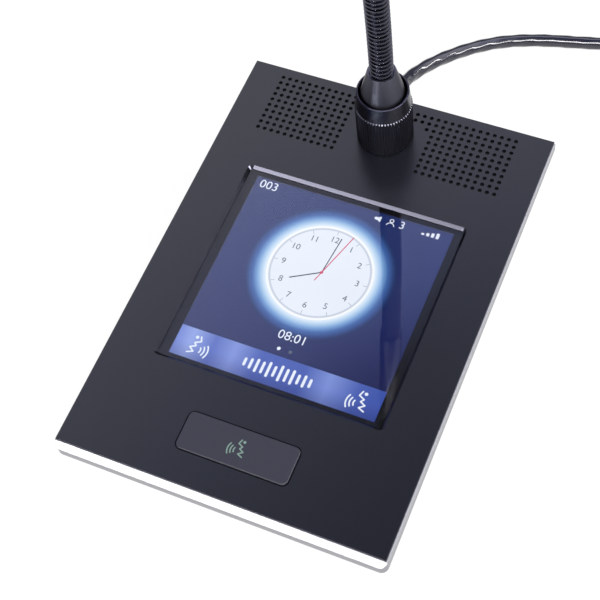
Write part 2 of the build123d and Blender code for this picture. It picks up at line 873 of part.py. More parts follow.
def neck_link(ribs, with_peg=True):
    length = ribs * rib_pitch
    points = [(wire_radius, bore_depth), (bore_radius, bore_depth), (bore_radius, 0)]
    for rib in range(ribs):
        start = rib * rib_pitch
        end = start + rib_length
        points += [(neck_root_radius, start), (neck_radius, start + rib_slope)]
        points += [(neck_radius, end - rib_slope), (neck_root_radius, end)]
    tip = length - rib_gap
    if with_peg:
        tip = length + peg_reach
        points += [(peg_radius, length - rib_gap), (peg_radius, tip)]
    points.append((wire_radius, tip))
    return turned(points)


def next_link(place, length, bend):
    """The place of the link after this one, turned about the middle of the gap between them."""
    return place * Pos(0, 0, length - rib_gap / 2) * Rot(bend, 0, 0) * Pos(0, 0, rib_gap / 2)


stem_socket_depth = 5.0
lower_length = lower_ribs * rib_pitch
upper_length = upper_ribs * rib_pitch
joint_bend = neck_rest_bend / (lower_segments - 1)


def stem_tube():
    socket = neck_radius + slip
    points = [
        (socket, 0),
        (stem_radius, 0),
        (stem_radius, stem_length),
        (socket, stem_length),
        (socket, stem_length - stem_socket_depth),
        (wire_radius, stem_length - stem_socket_depth),
        (wire_radius, stem_socket_depth),
        (socket, stem_socket_depth),
    ]
    return turned(points)


# Microphone head: tapered body, light ring, domed grille and capsule
head_taper = 12.0
head_body_length = 26.0
light_ring_length = 5.0
light_ring_radius = head_radius + loose
grille_length = 25.0
grille_wall = 1.0
spigot_radius = 5.5
capsule_radius = 5.0
capsule_length = 6.0
capsule_stand = 6.0
grille_start = head_body_length + light_ring_length


def head_body():
    socket = neck_radius + slip
    points = [
        (socket, 0),
        (stem_radius, 0),
        (head_radius, head_taper),
        (head_radius, head_body_length),
        (spigot_radius, head_body_length),
        (spigot_radius, grille_start + capsule_stand),
        (wire_radius, grille_start + capsule_stand),
        (wire_radius, stem_socket_depth),
        (socket, stem_socket_depth),
    ]
    return turned(points)


def light_ring():
    return ring(light_ring_radius, spigot_radius + slip, head_body_length, grille_start)


def head_grille():
    """A drawn cup with a domed end, open below."""
    wall_top = grille_start + grille_length - head_radius
    outside = rod(head_radius, grille_start, wall_top) + Pos(0, 0, wall_top) * Sphere(head_radius)
    inner = head_radius - grille_wall
    inside = rod(inner, grille_start, wall_top) + Pos(0, 0, wall_top) * Sphere(inner)
    return outside - inside


def mic_capsule():
    low = grille_start + capsule_stand
    return rod(capsule_radius, low, low + capsule_length)


# Network lead: plug and boot at the unit, free run, coil, tail and far plug
plug_width = 11.6
plug_height = 7.9
plug_nose = 12.0
plug_body = 21.0
boot_length = 20.0
boot_droop = 6.0
boot_end_radius = 3.8
boot_start_width = 11.0
boot_start_height = 8.6
arc_share = 0.45


def boot_end(droop):
    """The end of a boot that bends down by an angle, measured from the plug's nose."""
    half_turn = radians(droop) / 2
    return Location((0, plug_body + boot_length * cos(half_turn), -boot_length * sin(half_turn)), (-droop, 0, 0))


def network_plug(droop):
    """Its nose at y = 0, its lead leaving along +y, centred on the axis."""
    half = plug_width / 2
    body = block((-half, half), (0, plug_body), (-plug_height / 2, plug_height / 2))
    facing = Rot(-90, 0, 0)
    wide = RectangleRounded(boot_start_width, boot_start_height, boot_start_height / 3)
    start = Pos(0, plug_body, 0) * facing * wide
    return body + loft([start, boot_end(droop) * facing * Circle(boot_end_radius)])


def corner_radii(points):
    """For each corner of a route, a share of its shorter run over the tangent of half the turn."""
    radii = []
    for before, corner, after in zip(points, points[1:], points[2:]):
        first, second = Vector(*corner) - Vector(*before), Vector(*after) - Vector(*corner)
        turn = radians(first.get_angle(second))
        radii.append(arc_share * min(first.length, second.length) / tan(turn / 2))
    return radii


def free_cable(name, points):
    """A round lead along a route of straight runs and tangent arcs."""
    radii = corner_radii(points)
    path = FilletPolyline(*points, radius=radii)
    start = Plane(path @ 0, z_dir=path % 0)
    solid = sweep(start * Circle(cable_diameter / 2), path=path)
    section = pi * cable_diameter**2 / 4
    share = solid.volume / (section * path.length)
    print(name, "length", round(path.length, 1), "volume share", round(share, 4))
    print("  radii", [round(radius, 1) for radius in radii])
    return solid


plug_place = floor * Pos(jack_xs[0], socket_face_y - plug_nose, jack_z)
cable_lead = 9.5
cable_exit = tuple((plug_place * boot_end(boot_droop)).position)
cable_second = tuple((plug_place * boot_end(boot_droop) * Pos(0, cable_lead, 0)).position)
cable_rest = cable_diameter / 2
coil_lift = 1.4
turn_gap = 0.7
coil_pitch = cable_diameter + turn_gap
coil_inner_radius = 22.0
coil_in_steps = 7
coil_out_steps = 6
coil_centre = (129.0, 216.0)
coil_low = cable_rest + coil_lift
coil_high = coil_low + coil_pitch
coil_outer_radius = coil_inner_radius + coil_in_steps * coil_pitch / 2
coil_start_y = coil_centre[1] + coil_outer_radius
coil_start = (coil_centre[0] - cable_diameter, coil_start_y, coil_low)

run_points = [
    cable_exit,
    cable_second,
    (-20.0, 146.7, 24.6),
    (-20.1, 156.7, 17.3),
    (-20.1, 166.8, 10.8),
    (-19.7, 177.1, 6.9),
    (-17.5, 187.9, 4.4),
    (-11.5, 200.5, 3.3),
    (-2.0, 213.0, cable_rest),
    (10.3, 225.4, cable_rest),
    (32.0, 236.3, cable_rest),
    (53.0, 242.6, cable_rest),
    (72.0, 249.5, cable_rest),
    (90.0, 257.6, 3.6),
    (107.0, coil_start_y, coil_low),
    coil_start,
]


def coil_path():
    """Half turns: in by half a pitch each, up a layer at the middle, and out again."""
    x, y = coil_centre[0], coil_start_y
    shrinking = [coil_outer_radius - step * coil_pitch / 2 for step in range(coil_in_steps)]
    growing = [coil_inner_radius + (step + 1) * coil_pitch / 2 for step in range(coil_out_steps)]
    radii = shrinking + [coil_inner_radius] + growing
    edges = [Line(coil_start, (x, y, coil_low))]
    for step, radius in enumerate(radii):
        side = 1 if step % 2 == 0 else -1
        start_z = coil_low if step <= coil_in_steps else coil_high
        end_z = coil_low if step < coil_in_steps else coil_high
        end_y = y - side * 2 * radius
        middle = (x + side * radius, (y + end_y) / 2, (start_z + end_z) / 2)
        if start_z != end_z:
            reach = Vector(0, end_y - y, end_z - start_z).length / 2
            middle = (x + side * reach, (y + end_y) / 2, (start_z + end_z) / 2)
        edges.append(ThreePointArc((x, y, start_z), middle, (x, end_y, end_z)))
        y = end_y
    edges.append(Line((x, y, coil_high), (x + cable_diameter, y, coil_high)))
    return Wire(edges), (x + cable_diameter, y, coil_high)


def coil_gap(path):
    """Least distance between turns, measured on points that are far apart along the lead."""
    count = 900
    points = [path @ (step / count) for step in range(count + 1)]
    step_length = path.length / count
    apart = int(pi * coil_inner_radius / step_length)
    least = path.length
    for first in range(0, count, 2):
        for second in range(first + apart, count + 1):
            least = min(least, (points[first] - points[second]).length)
    return least - cable_diameter


def cable_coil():
    path, end = coil_path()
    start = Plane(path @ 0, z_dir=path % 0)
    solid = sweep(start * Circle(cable_diameter / 2), path=path)
    share = solid.volume / (pi * cable_diameter**2 / 4 * path.length)
    print("coil length", round(path.length, 1), "volume share", round(share, 4), "gap", round(coil_gap(path), 2))
    return solid, end


# Tie: a hook-and-loop strap round the bundle on the side away from the unit's lead
tie_thick = 1.0
tie_width = 10.0
tie_ease = 0.9


def cable_tie():
    bundle = coil_in_steps // 2 * coil_pitch + cable_diameter
    outside = coil_start_y - 2 * coil_outer_radius
    y_limits = (outside - cable_rest - loose, outside - cable_rest + bundle + tie_ease)
    z_limits = (tie_thick, coil_high + cable_rest + loose)
    x_limits = (coil_centre[0] - tie_width / 2, coil_centre[0] + tie_width / 2)
    wide_y = (y_limits[0] - tie_thick, y_limits[1] + tie_thick)
    outer = block(x_limits, wide_y, (0, z_limits[1] + tie_thick))
    outer = fillet(outer.edges().filter_by(Axis.X), 2 * tie_thick)
    return outer - block(x_limits, y_limits, z_limits)


far_plug_z = boot_start_height / 2
tail_lead = 13.6
tail_places = [
    (38.0, 36.8, 11.2),
    (51.5, 28.0, 8.2),
    (60.0, 14.5, 5.4),
    (62.5, -2.0, far_plug_z),
    (62.0, -16.5, far_plug_z),
]


def tail_points(start):
    """From the coil's upper end, over its outer turn and down beside it."""
    straight = (start[0] + tail_lead, start[1], start[2])
    return [start, straight] + [(coil_centre[0] + x, coil_centre[1] + y, z) for x, y, z in tail_places]


def far_plug(points):
    """The same plug, lying on the table at the end of the tail."""
    before, end = Vector(*points[-2]), Vector(*points[-1])
    heading = end - before
    turn = degrees(atan2(heading.Y, heading.X)) + 90
    flipped = Pos(0, -plug_body - boot_length, 0) * network_plug(0)
    return Pos(*points[-1]) * Rot(0, 0, turn) * flipped


write("top_plate", top_plate())
write("body_frame", body_frame())
write("plate_nuts", plate_nuts())
write("case_screws", case_screws(), floor)
write("board_screws", board_screws())
write("bottom_cover", bottom_cover())
write("stand_shell", stand_shell(), floor)
write("rear_panel", rear_panel(), floor)
write("connector_board", connector_board(), floor)
write("network_sockets", network_sockets(), floor)
write("front_foot", front_foot(), floor)
write("rear_feet", rear_feet(), floor)
write("cover_glass", cover_glass())
write("glass_gasket", glass_gasket())
write("lcd_module", lcd_module())
write("display_bracket", display_bracket())
write("display_flex", display_flex())
write("main_board", main_board())
write("board_parts", board_parts())
write("board_standoffs", board_standoffs())
write("talk_button", talk_button())
write("button_light_pipe", button_light_pipe())
write("button_board", button_board())
write("button_switches", button_switches())
write("switch_stems", switch_stems())
write("grille_cloth", grille_cloth())
for side, side_name in ((-1, "left"), (1, "right")):
    write(f"speaker_basket_{side_name}", speaker_basket(side))
    write(f"speaker_cone_{side_name}", speaker_cone(side))
    write(f"speaker_magnet_{side_name}", speaker_magnet(side))
write("mic_socket", mic_socket(), mast)
write("socket_nut", socket_nut(), mast)
write("mic_plug", mic_plug(), mast)
write("lock_collar", lock_collar(), mast)
write("cone_sleeve", cone_sleeve(), mast)

pivots = {}
place = mast * Pos(0, 0, cone_height - neck_socket_depth)
for number in range(1, lower_segments + 1):
    write(f"neck_{number}", neck_link(lower_ribs, number < lower_segments), place)
    if number < lower_segments:
        pivots[f"neck_{number + 1}"] = place * Pos(0, 0, lower_length - rib_gap / 2)
        place = next_link(place, lower_length, joint_bend)
place = place * Pos(0, 0, lower_length - rib_gap - stem_socket_depth)
write("stem_tube", stem_tube(), place)
place = place * Pos(0, 0, stem_length - stem_socket_depth)
for number in range(lower_segments + 1, lower_segments + upper_segments + 1):
    last = number == lower_segments + upper_segments
    write(f"neck_{number}", neck_link(upper_ribs, not last), place)
    if not last:
        pivots[f"neck_{number + 1}"] = place * Pos(0, 0, upper_length - rib_gap / 2)
        place = next_link(place, upper_length, 0)
head_place = place * Pos(0, 0, upper_length - rib_gap - stem_socket_depth)
write("head_body", head_body(), head_place)
write("light_ring", light_ring(), head_place)
write("head_grille", head_grille(), head_place)
write("mic_capsule", mic_capsule(), head_place)

write("cable_plug", network_plug(boot_droop), plug_place)
write("cable_run", free_cable("cable run", run_points), Location())
coil, coil_end = cable_coil()
write("cable_coil", coil, Location())
write("cable_tie", cable_tie(), Location())
tail = tail_points(coil_end)
write("cable_tail", free_cable("cable tail", tail), Location())
write("far_plug", far_plug(tail), Location())

print("front shift", round(front_shift, 3), "deck height", round(deck_height, 3))
for name, pivot in pivots.items():
    print("pivot", name, [round(value, 3) for value in pivot.position])
for label, spot in (("mast", mast), ("button", deck * Pos(0, button_y, 0))):
    print(label, [round(value, 3) for value in spot.position])
up = Vector(0, -sin(tilt), cos(tilt))
print("deck normal", round(up.Y, 5), round(up.Z, 5))
for label, spot in (("exit", cable_exit), ("second", cable_second), ("coil start", coil_start)):
    print("cable", label, [round(value, 3) for value in spot])
print("coil end", [round(value, 2) for value in coil_end])
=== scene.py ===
import json
import math

import bmesh
import bpy
from mathutils import Matrix, Vector


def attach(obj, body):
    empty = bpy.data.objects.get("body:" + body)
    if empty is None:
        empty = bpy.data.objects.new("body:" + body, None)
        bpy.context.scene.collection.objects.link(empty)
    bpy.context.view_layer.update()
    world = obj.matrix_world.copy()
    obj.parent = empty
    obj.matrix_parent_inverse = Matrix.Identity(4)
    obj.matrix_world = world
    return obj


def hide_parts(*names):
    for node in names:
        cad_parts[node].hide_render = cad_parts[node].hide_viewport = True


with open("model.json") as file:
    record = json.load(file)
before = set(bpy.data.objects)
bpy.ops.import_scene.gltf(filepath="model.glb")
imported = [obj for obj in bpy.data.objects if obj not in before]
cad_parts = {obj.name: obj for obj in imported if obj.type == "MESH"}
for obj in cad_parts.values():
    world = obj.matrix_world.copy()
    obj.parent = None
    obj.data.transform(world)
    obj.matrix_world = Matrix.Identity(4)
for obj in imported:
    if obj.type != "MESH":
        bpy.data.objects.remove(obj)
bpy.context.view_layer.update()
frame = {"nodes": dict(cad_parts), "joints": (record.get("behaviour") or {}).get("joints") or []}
nodes = frame["nodes"]
scene = bpy.context.scene

# Housing frame: one silver-grey aluminium casting under the plate, satin all over, with a lip cut at
# 45 degrees along the front. It is the piece that all the others are fixed to, so the deck's own
# frame is worked out here: x from the centre line, y from the plate's front edge, z from its top.
mic_y = 0.1805
joints = {joint["name"]: joint for joint in frame["joints"]}
deck_up = -Vector(joints["button_press"]["axis"])
deck_tilt = math.atan2(-deck_up.y, deck_up.z)
mast = Matrix.Translation(joints["collar_turn"]["pos_m"]) @ Matrix.Rotation(deck_tilt, 4, "X")
deck = mast @ Matrix.Translation((0, -mic_y, 0))


def linear(code):
    """An sRGB hex colour as linear red, green, blue and alpha."""
    parts = [int(code[start:start + 2], 16) / 255 for start in (1, 3, 5)]
    return [part / 12.92 if part <= 0.04045 else ((part + 0.055) / 1.055) ** 2.4 for part in parts] + [1]


def add(tree, kind, sockets=(), stops=(), **settings):
    """Adds a node with its properties, the stops of its ramp as places and hex colours, and its sockets
    given as values or as links."""
    made = tree.nodes.new("ShaderNode" + kind)
    for name, value in settings.items():
        setattr(made, name, value)
    if stops:
        ramp = made.color_ramp.elements
        while len(ramp) < len(stops):
            ramp.new(0.5)
        for stop, (place, code) in zip(ramp, stops):
            stop.position = place
            stop.color = linear(code)
    for name, value in dict(sockets).items():
        if isinstance(value, bpy.types.NodeSocket):
            tree.links.new(value, made.inputs[name])
        else:
            made.inputs[name].default_value = value
    return made


def blank(name):
    """A new material and its empty tree."""
    made = bpy.data.materials.new(name)
    made.use_nodes = True
    made.node_tree.nodes.clear()
    return made, made.node_tree


def grained(
    name, dark, light, grain, roughness, spread=0.05, relief=0.1, stretch=(1, 1, 1), turned=False, **sockets
):
    """A finish whose tone, gloss and relief follow one noise with grains of a real size, in metres.
    Turned metal has fine marks round its axis, which stretch its highlights into lines along it."""
    made, tree = blank(name)
    place = add(tree, "TexCoord")
    lie = {"Vector": place.outputs["Object"], "Scale": stretch}
    along = add(tree, "Mapping", lie, vector_type="TEXTURE")
    noise = add(tree, "TexNoise", {"Vector": along.outputs[0], "Scale": 1 / grain, "Detail": 4.0})
    tone = add(tree, "Mix", {0: noise.outputs["Fac"], 6: linear(dark), 7: linear(light)}, data_type="RGBA")
    limits = {"Value": noise.outputs["Fac"], "To Min": roughness - spread, "To Max": roughness + spread}
    gloss = add(tree, "MapRange", limits)
    bump = add(tree, "Bump", {"Height": noise.outputs["Fac"], "Strength": relief, "Distance": grain / 2})
    sockets = {name.replace("_", " "): value for name, value in sockets.items()}
    sockets |= {"Base Color": tone.outputs[2], "Roughness": gloss.outputs[0], "Normal": bump.outputs[0]}
    if turned:
        rings = add(tree, "Tangent", direction_type="RADIAL", axis="Z")
        sockets |= {"Anisotropic": 0.85, "Anisotropic Rotation": 0.25, "Tangent": rings.outputs[0]}
    shader = add(tree, "BsdfPrincipled", sockets)
    add(tree, "OutputMaterial", {"Surface": shader.outputs[0]})
    return made


def dress(finish, *names):
    """Gives pieces of the fixed frame their finish."""
    for name in names:
        for slot in nodes[name].material_slots:
            slot.material = finish


# Satin anodised casting: its bead-blasted grain of 0.2 mm, drawn as 0.4 mm so that it shows, gives a
# soft even sheen with no sharp highlight
satin_casting = grained("satin_silver_casting", "#A8A8AD", "#B4B4B9", 0.0004, 0.34, 0.05, 0.06, Metallic=1.0)
dress(satin_casting, "body_frame")

# Top plate: 1.5 mm sheet aluminium, drilled and cut, blasted, its edges and the window's bevel milled,
# then black anodised. Welded studs and nuts hold it down, so no screw shows.
grit_size = 1 / 3000
cloud_size = 1 / 14
grit_depth = 0.00015
bevel_angle = math.radians(45)
bevel_slack = 0.05


def bevelled_sheet():
    """Black anodised sheet: its blasted face is a satin blue-black that greys where it mirrors the
    studio, and its milled bevels are smooth and show as thin bright lines."""
    made, tree = blank("black_anodised_sheet")
    place = add(tree, "TexCoord").outputs["Object"]
    grain = add(tree, "TexNoise", {"Vector": place, "Scale": 1 / grit_size, "Detail": 4.0})
    cloud = add(tree, "TexNoise", {"Vector": place, "Scale": 1 / cloud_size, "Detail": 2.0})
    dye = {0: grain.outputs["Fac"], 6: linear("#090A0F"), 7: linear("#0F1015")}
    tone = add(tree, "Mix", dye, data_type="RGBA")
    gloss = add(tree, "MapRange", {"Value": cloud.outputs["Fac"], "To Min": 0.22, "To Max": 0.28})
    bump = add(tree, "Bump", {"Height": grain.outputs["Fac"], "Strength": 0.08, "Distance": grit_depth})
    dyed = add(tree, "BsdfPrincipled", {
        "Base Color": tone.outputs[2], "Roughness": gloss.outputs[0], "Normal": bump.outputs[0],
    })
    milled = add(tree, "BsdfPrincipled", {
        "Base Color": linear("#50505A"), "Metallic": 1.0, "Roughness": 0.14,
    })
    facing = add(tree, "NewGeometry").outputs["True Normal"]
    slant = add(tree, "VectorMath", {0: facing, 1: deck_up}, operation="DOT_PRODUCT")
    bevel = {0: slant.outputs["Value"], 1: math.cos(bevel_angle), 2: bevel_slack}
    cut = add(tree, "Math", bevel, operation="COMPARE")
    both = add(tree, "MixShader", {0: cut.outputs[0], 1: dyed.outputs[0], 2: milled.outputs[0]})
    add(tree, "OutputMaterial", {"Surface": both.outputs[0]})
    return made


dress(bevelled_sheet(), "top_plate")
# Zinc plating: a cool pale grey whose gloss is a little patchy
zinc_steel = grained("zinc_plated_steel", "#A7A9AC", "#C2C4C6", 0.0006, 0.32, 0.08, 0.05, Metallic=1.0)
dress(zinc_steel, "plate_nuts", "case_screws", "board_screws", "board_standoffs")

# Display stack: cover glass, foam gasket, panel and steel backing plate, one on another, with the
# panel's ribbon folded under to the main board.
# Cell foam: dull black, open pored, with no shine
gasket_foam = grained("black_cell_foam", "#0B0B0C", "#121213", 0.0004, 0.9, 0.05, 0.3)
dress(gasket_foam, "glass_gasket")
# Panel frame: smooth black film, half glossy
panel_back = grained("panel_black", "#08080A", "#0C0C10", 0.001, 0.35, 0.05, 0.02)
dress(panel_back, "lcd_module")
# Rolled steel: dull silver with faint streaks along the rolling
rolled_steel = grained(
    "rolled_steel", "#8E9092", "#A6A8AA", 0.0008, 0.35, 0.08, 0.05, stretch=(4, 1, 1), Metallic=1.0
)
dress(rolled_steel, "display_bracket")
# Ribbon film: warm amber brown, smooth and glossy
amber_film = grained("amber_ribbon_film", "#8A4A16", "#9C5A20", 0.001, 0.3, 0.05, 0.03)
dress(amber_film, "display_flex")
clear_cloud = 0.025


def clear(name, tint, roughness, ior):
    """Clear glass or plastic, with a faint unevenness in its tint."""
    made, tree = blank(name)
    place = add(tree, "TexCoord").outputs["Object"]
    noise = add(tree, "TexNoise", {"Vector": place, "Scale": 1 / clear_cloud})
    tints = {0: noise.outputs["Fac"], 6: linear("#FFFFFF"), 7: linear(tint)}
    tone = add(tree, "Mix", tints, data_type="RGBA")
    sockets = {"Base Color": tone.outputs[2], "Roughness": roughness, "IOR": ior, "Transmission Weight": 1.0}
    shader = add(tree, "BsdfPrincipled", sockets)
    add(tree, "OutputMaterial", {"Surface": shader.outputs[0]})
    return made


# Float glass: shows the picture clearly and mirrors the microphone and the studio over it
float_glass = clear("float_glass", "#F6FBFA", 0.0, 1.47)
dress(float_glass, "cover_glass")

# Picture: what the lit panel shows behind the glass, as thin layers in the gap that the gasket leaves.
# A wall clock with a blue glow, a row of plain marks and numbers, and a bar along the bottom. Every
# layer is a lit film: black when off, and even and shadowless in its own colour when on.
panel_top = -0.0040
picture_y = 0.0975
picture_size = (0.0900, 0.0918)
picture_gap = 0.00005
clock_middle = (-0.0011, 0.0101)
face_radius = 0.0228
bar_height = 0.0140
figure_share = 0.73
backlight_cloud = 1 / 60
slope_lean = -0.35
slope_half = 0.046


def layer(number):
    """The place of one layer of the picture, seen from its middle with y towards the rear."""
    return deck @ Matrix.Translation((0, picture_y, panel_top + number * picture_gap))


def patch(shape, width, length, at, turn=0.0):
    """Adds a flat rectangle, centred on a point and turned about it."""
    lie = Matrix.Translation((*at, 0)) @ Matrix.Rotation(turn, 4, "Z")
    lie = lie @ Matrix.Diagonal((width, length, 1, 1))
    bmesh.ops.create_grid(shape, x_segments=1, y_segments=1, size=0.5, matrix=lie)


def disc(shape, radius, at, segments=16):
    """Adds a flat disc."""
    lie = Matrix.Translation((*at, 0))
    bmesh.ops.create_circle(shape, cap_ends=True, segments=segments, radius=radius, matrix=lie)


def stroke(shape, points, width):
    """Adds a line of even width with round corners and ends, through flat points."""
    for point in points:
        disc(shape, width / 2, point, 10)
    for start, end in zip(points, points[1:]):
        run = Vector(end) - Vector(start)
        middle = (Vector(start) + Vector(end)) / 2
        patch(shape, run.length, width, middle, math.atan2(run.y, run.x))


def arc(middle, radius, start, end, steps=8):
    """Points on an arc between two angles in degrees."""
    angles = [math.radians(start + (end - start) * step / steps) for step in range(steps + 1)]
    return [(middle[0] + radius * math.cos(angle), middle[1] + radius * math.sin(angle)) for angle in angles]


def numerals(shape, text, height, at):
    """Adds flat numerals of a height, centred on a point."""
    curve = bpy.data.curves.new("numerals", "FONT")
    curve.body = text
    curve.size = height / figure_share
    curve.align_x = "CENTER"
    curve.align_y = "CENTER"
    holder = bpy.data.objects.new("numerals", curve)
    mesh = bpy.data.meshes.new_from_object(holder)
    mesh.transform(Matrix.Translation((*at, 0)))
    shape.from_mesh(mesh)
    bpy.data.objects.remove(holder)


def talk_mark(shape, middle, height, side):
    """Adds a plain sign for speech, turned to one side: a dot, a bent line and three arcs. Its points
    are shares of its height."""
    def at(x, y):
        return (middle[0] + side * (x - 0.5) * height, middle[1] + (y - 0.5) * height)
    line = height * 0.075
    disc(shape, height * 0.085, at(0.24, 0.90))
    bends = [
        (0.42, 0.98), (0.52, 0.74), (0.24, 0.60), (0.36, 0.46), (0.10, 0.32), (0.34, 0.14), (0.06, 0.02),
    ]
    stroke(shape, [at(x, y) for x, y in bends], line)
    for radius in (0.24, 0.42, 0.60):
        stroke(shape, [at(x, y) for x, y in arc((0.42, 0.30), radius, -32, 32)], line)


def finished(name, shape, finish, body, stands_for=(), place=None):
    """Makes a piece from a bmesh, puts it in its place and lets it ride on a body."""
    if place is not None:
        bmesh.ops.transform(shape, matrix=place, verts=shape.verts)
    mesh = bpy.data.meshes.new(name)
    shape.to_mesh(mesh)
    shape.free()
    mesh.shade_smooth()
    mesh.set_sharp_from_angle(angle=math.radians(30))
    mesh.materials.append(finish)
    made = bpy.data.objects.new(name, mesh)
    scene.collection.objects.link(made)
    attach(made, body)
    if stands_for:
        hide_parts(*stands_for)
    return made


def lit_piece(name, shape, finish, number):
    """Makes a part of the picture and puts it on its layer."""
    finished(name, shape, finish, "root", (), layer(number))


def lit(name, paint):
    """A lit film of the panel, whose colour is painted by a function of the layer's own frame."""
    made, tree = blank(name)
    place = add(tree, "TexCoord")
    lie = layer(0)
    flat = add(tree, "Mapping", {
        "Vector": place.outputs["Object"], "Location": lie.to_translation(), "Rotation": lie.to_euler(),
    }, vector_type="TEXTURE")
    shader = add(tree, "BsdfPrincipled", {
        "Base Color": linear("#050507"), "Roughness": 0.4, "Specular IOR Level": 0.0,
        "Emission Color": paint(tree, flat.outputs[0]), "Emission Strength": 1.0,
    })
    add(tree, "OutputMaterial", {"Surface": shader.outputs[0]})
    return made


def even(dark, light):
    """Paints an almost even colour, with the faint cloudiness of a backlight."""
    def paint(tree, flat):
        noise = add(tree, "TexNoise", {"Vector": flat, "Scale": 1 / backlight_cloud})
        tone = {0: noise.outputs["Fac"], 6: linear(dark), 7: linear(light)}
        return add(tree, "Mix", tone, data_type="RGBA").outputs[2]
    return paint


def from_clock(tree, flat):
    """Distance from the clock's middle, as a share of twice the face's radius."""
    away = add(tree, "VectorMath", {0: flat, 1: (*clock_middle, 0)}, operation="DISTANCE")
    return add(tree, "Math", {0: away.outputs["Value"], 1: 2 * face_radius}, operation="DIVIDE").outputs[0]


def paint_backdrop(tree, flat):
    """Dark blue, lighter towards the top left, with a halo round the clock."""
    split = add(tree, "SeparateXYZ", {"Vector": flat})
    lean = {0: split.outputs["X"], 1: slope_lean, 2: split.outputs["Y"]}
    slope = add(tree, "Math", lean, operation="MULTIPLY_ADD")
    height = add(tree, "MapRange", {
        "Value": slope.outputs[0], "From Min": -slope_half, "From Max": slope_half,
    })
    blue = add(tree, "ValToRGB", {"Fac": height.outputs[0]}, [
        (0.0, "#1A1F50"), (0.35, "#1C265C"), (0.75, "#1C2B64"), (1.0, "#1D2D66"),
    ])
    halo = add(tree, "ValToRGB", {"Fac": from_clock(tree, flat)}, [
        (0.0, "#EAF4FF"), (0.51, "#E0EEFC"), (0.545, "#B0CFEE"), (0.58, "#78A2D6"), (0.62, "#4066A8"),
        (0.67, "#263E78"), (0.72, "#000000"),
    ])
    layers = {0: 1.0, 6: blue.outputs["Color"], 7: halo.outputs["Color"]}
    return add(tree, "Mix", layers, data_type="RGBA", blend_type="LIGHTEN").outputs[2]


def paint_face(tree, flat):
    """White face with a thin grey line inside its rim."""
    return add(tree, "ValToRGB", {"Fac": from_clock(tree, flat)}, [
        (0.0, "#EEF3FC"), (0.453, "#F0F4FD"), (0.462, "#C8CEDC"), (0.472, "#D2D8E4"), (0.480, "#FFFFFF"),
    ]).outputs["Color"]


def paint_bar(tree, flat):
    """Blue bar with three soft lights along it."""
    split = add(tree, "SeparateXYZ", {"Vector": flat})
    half = picture_size[0] / 2
    along = add(tree, "MapRange", {"Value": split.outputs["X"], "From Min": -half, "From Max": half})
    lights = add(tree, "ValToRGB", {"Fac": along.outputs[0]}, [
        (0.0, "#7488D4"), (0.07, "#98AAE8"), (0.18, "#5C70C2"), (0.28, "#8698DC"), (0.40, "#4A60B4"),
        (0.62, "#4A60B4"), (0.74, "#8094DA"), (0.88, "#4A60B4"), (1.0, "#3E54AA"),
    ])
    low = -picture_size[1] / 2
    up = add(tree, "MapRange", {"Value": split.outputs["Y"], "From Min": low, "From Max": low + bar_height})
    fade = [(0.0, "#C6C6D2"), (0.5, "#FAFAFF"), (1.0, "#FFFFFF")]
    shade = add(tree, "ValToRGB", {"Fac": up.outputs[0]}, fade)
    layers = {0: 1.0, 6: lights.outputs["Color"], 7: shade.outputs["Color"]}
    return add(tree, "Mix", layers, data_type="RGBA", blend_type="MULTIPLY").outputs[2]


backdrop = bmesh.new()
patch(backdrop, *picture_size, (0, 0))
lit_piece("picture_backdrop", backdrop, lit("lit_backdrop", paint_backdrop), 1)
bar = bmesh.new()
bar_y = (bar_height - picture_size[1]) / 2
patch(bar, picture_size[0], bar_height, (0, bar_y))
lit_piece("picture_bar", bar, lit("lit_bar", paint_bar), 2)
face = bmesh.new()
disc(face, face_radius, clock_middle, 96)
lit_piece("clock_face", face, lit("lit_face", paint_face), 2)

# Lit marks: flat even colours, with only the backlight's faint clouds in them
white_light = lit("lit_white", even("#E8EEFF", "#F6F9FF"))
grey_light = lit("lit_grey", even("#565E6C", "#626A78"))
pale_light = lit("lit_pale_grey", even("#98A0AE", "#A4ACBA"))
slate_light = lit("lit_slate", even("#3A444E", "#46505A"))
red_light = lit("lit_red", even("#D4405C", "#DE4C68"))


def on_clock(radius, hour, middle=clock_middle):
    """A point of the clock at a radius and an hour."""
    angle = math.pi / 2 - hour * math.pi / 6
    return (middle[0] + radius * math.cos(angle), middle[1] + radius * math.sin(angle))


# Clock: a tick and a numeral for each hour, then the three hands. Each hand is given by its reach, the
# hour it points at and its width.
tick_ends, tick_width = (0.0193, 0.0209), 0.00022
numeral_ring, numeral_height = 0.0166, 0.0029
hand_middle = (-0.0004, 0.0102)
hour_hand = (0.0135, 8.02, 0.00055)
minute_hand = (0.0179, 0.2, 0.00045)
sweep_ends, sweep_hour, sweep_width, hub_radius = (-0.0046, 0.0210), 0.59, 0.00045, 0.0007
ticks, hours, hands, sweep_hand = bmesh.new(), bmesh.new(), bmesh.new(), bmesh.new()
for hour in range(1, 13):
    stroke(ticks, [on_clock(reach, hour) for reach in tick_ends], tick_width)
    numerals(hours, str(hour), numeral_height, on_clock(numeral_ring, hour))
for reach, hour, width in (hour_hand, minute_hand):
    stroke(hands, [hand_middle, on_clock(reach, hour, hand_middle)], width)
stroke(sweep_hand, [on_clock(reach, sweep_hour, hand_middle) for reach in sweep_ends], sweep_width)
disc(sweep_hand, hub_radius, hand_middle)
lit_piece("clock_ticks", ticks, pale_light, 3)
lit_piece("clock_numerals", hours, grey_light, 3)
lit_piece("clock_hands", hands, slate_light, 4)
lit_piece("clock_second_hand", sweep_hand, red_light, 5)

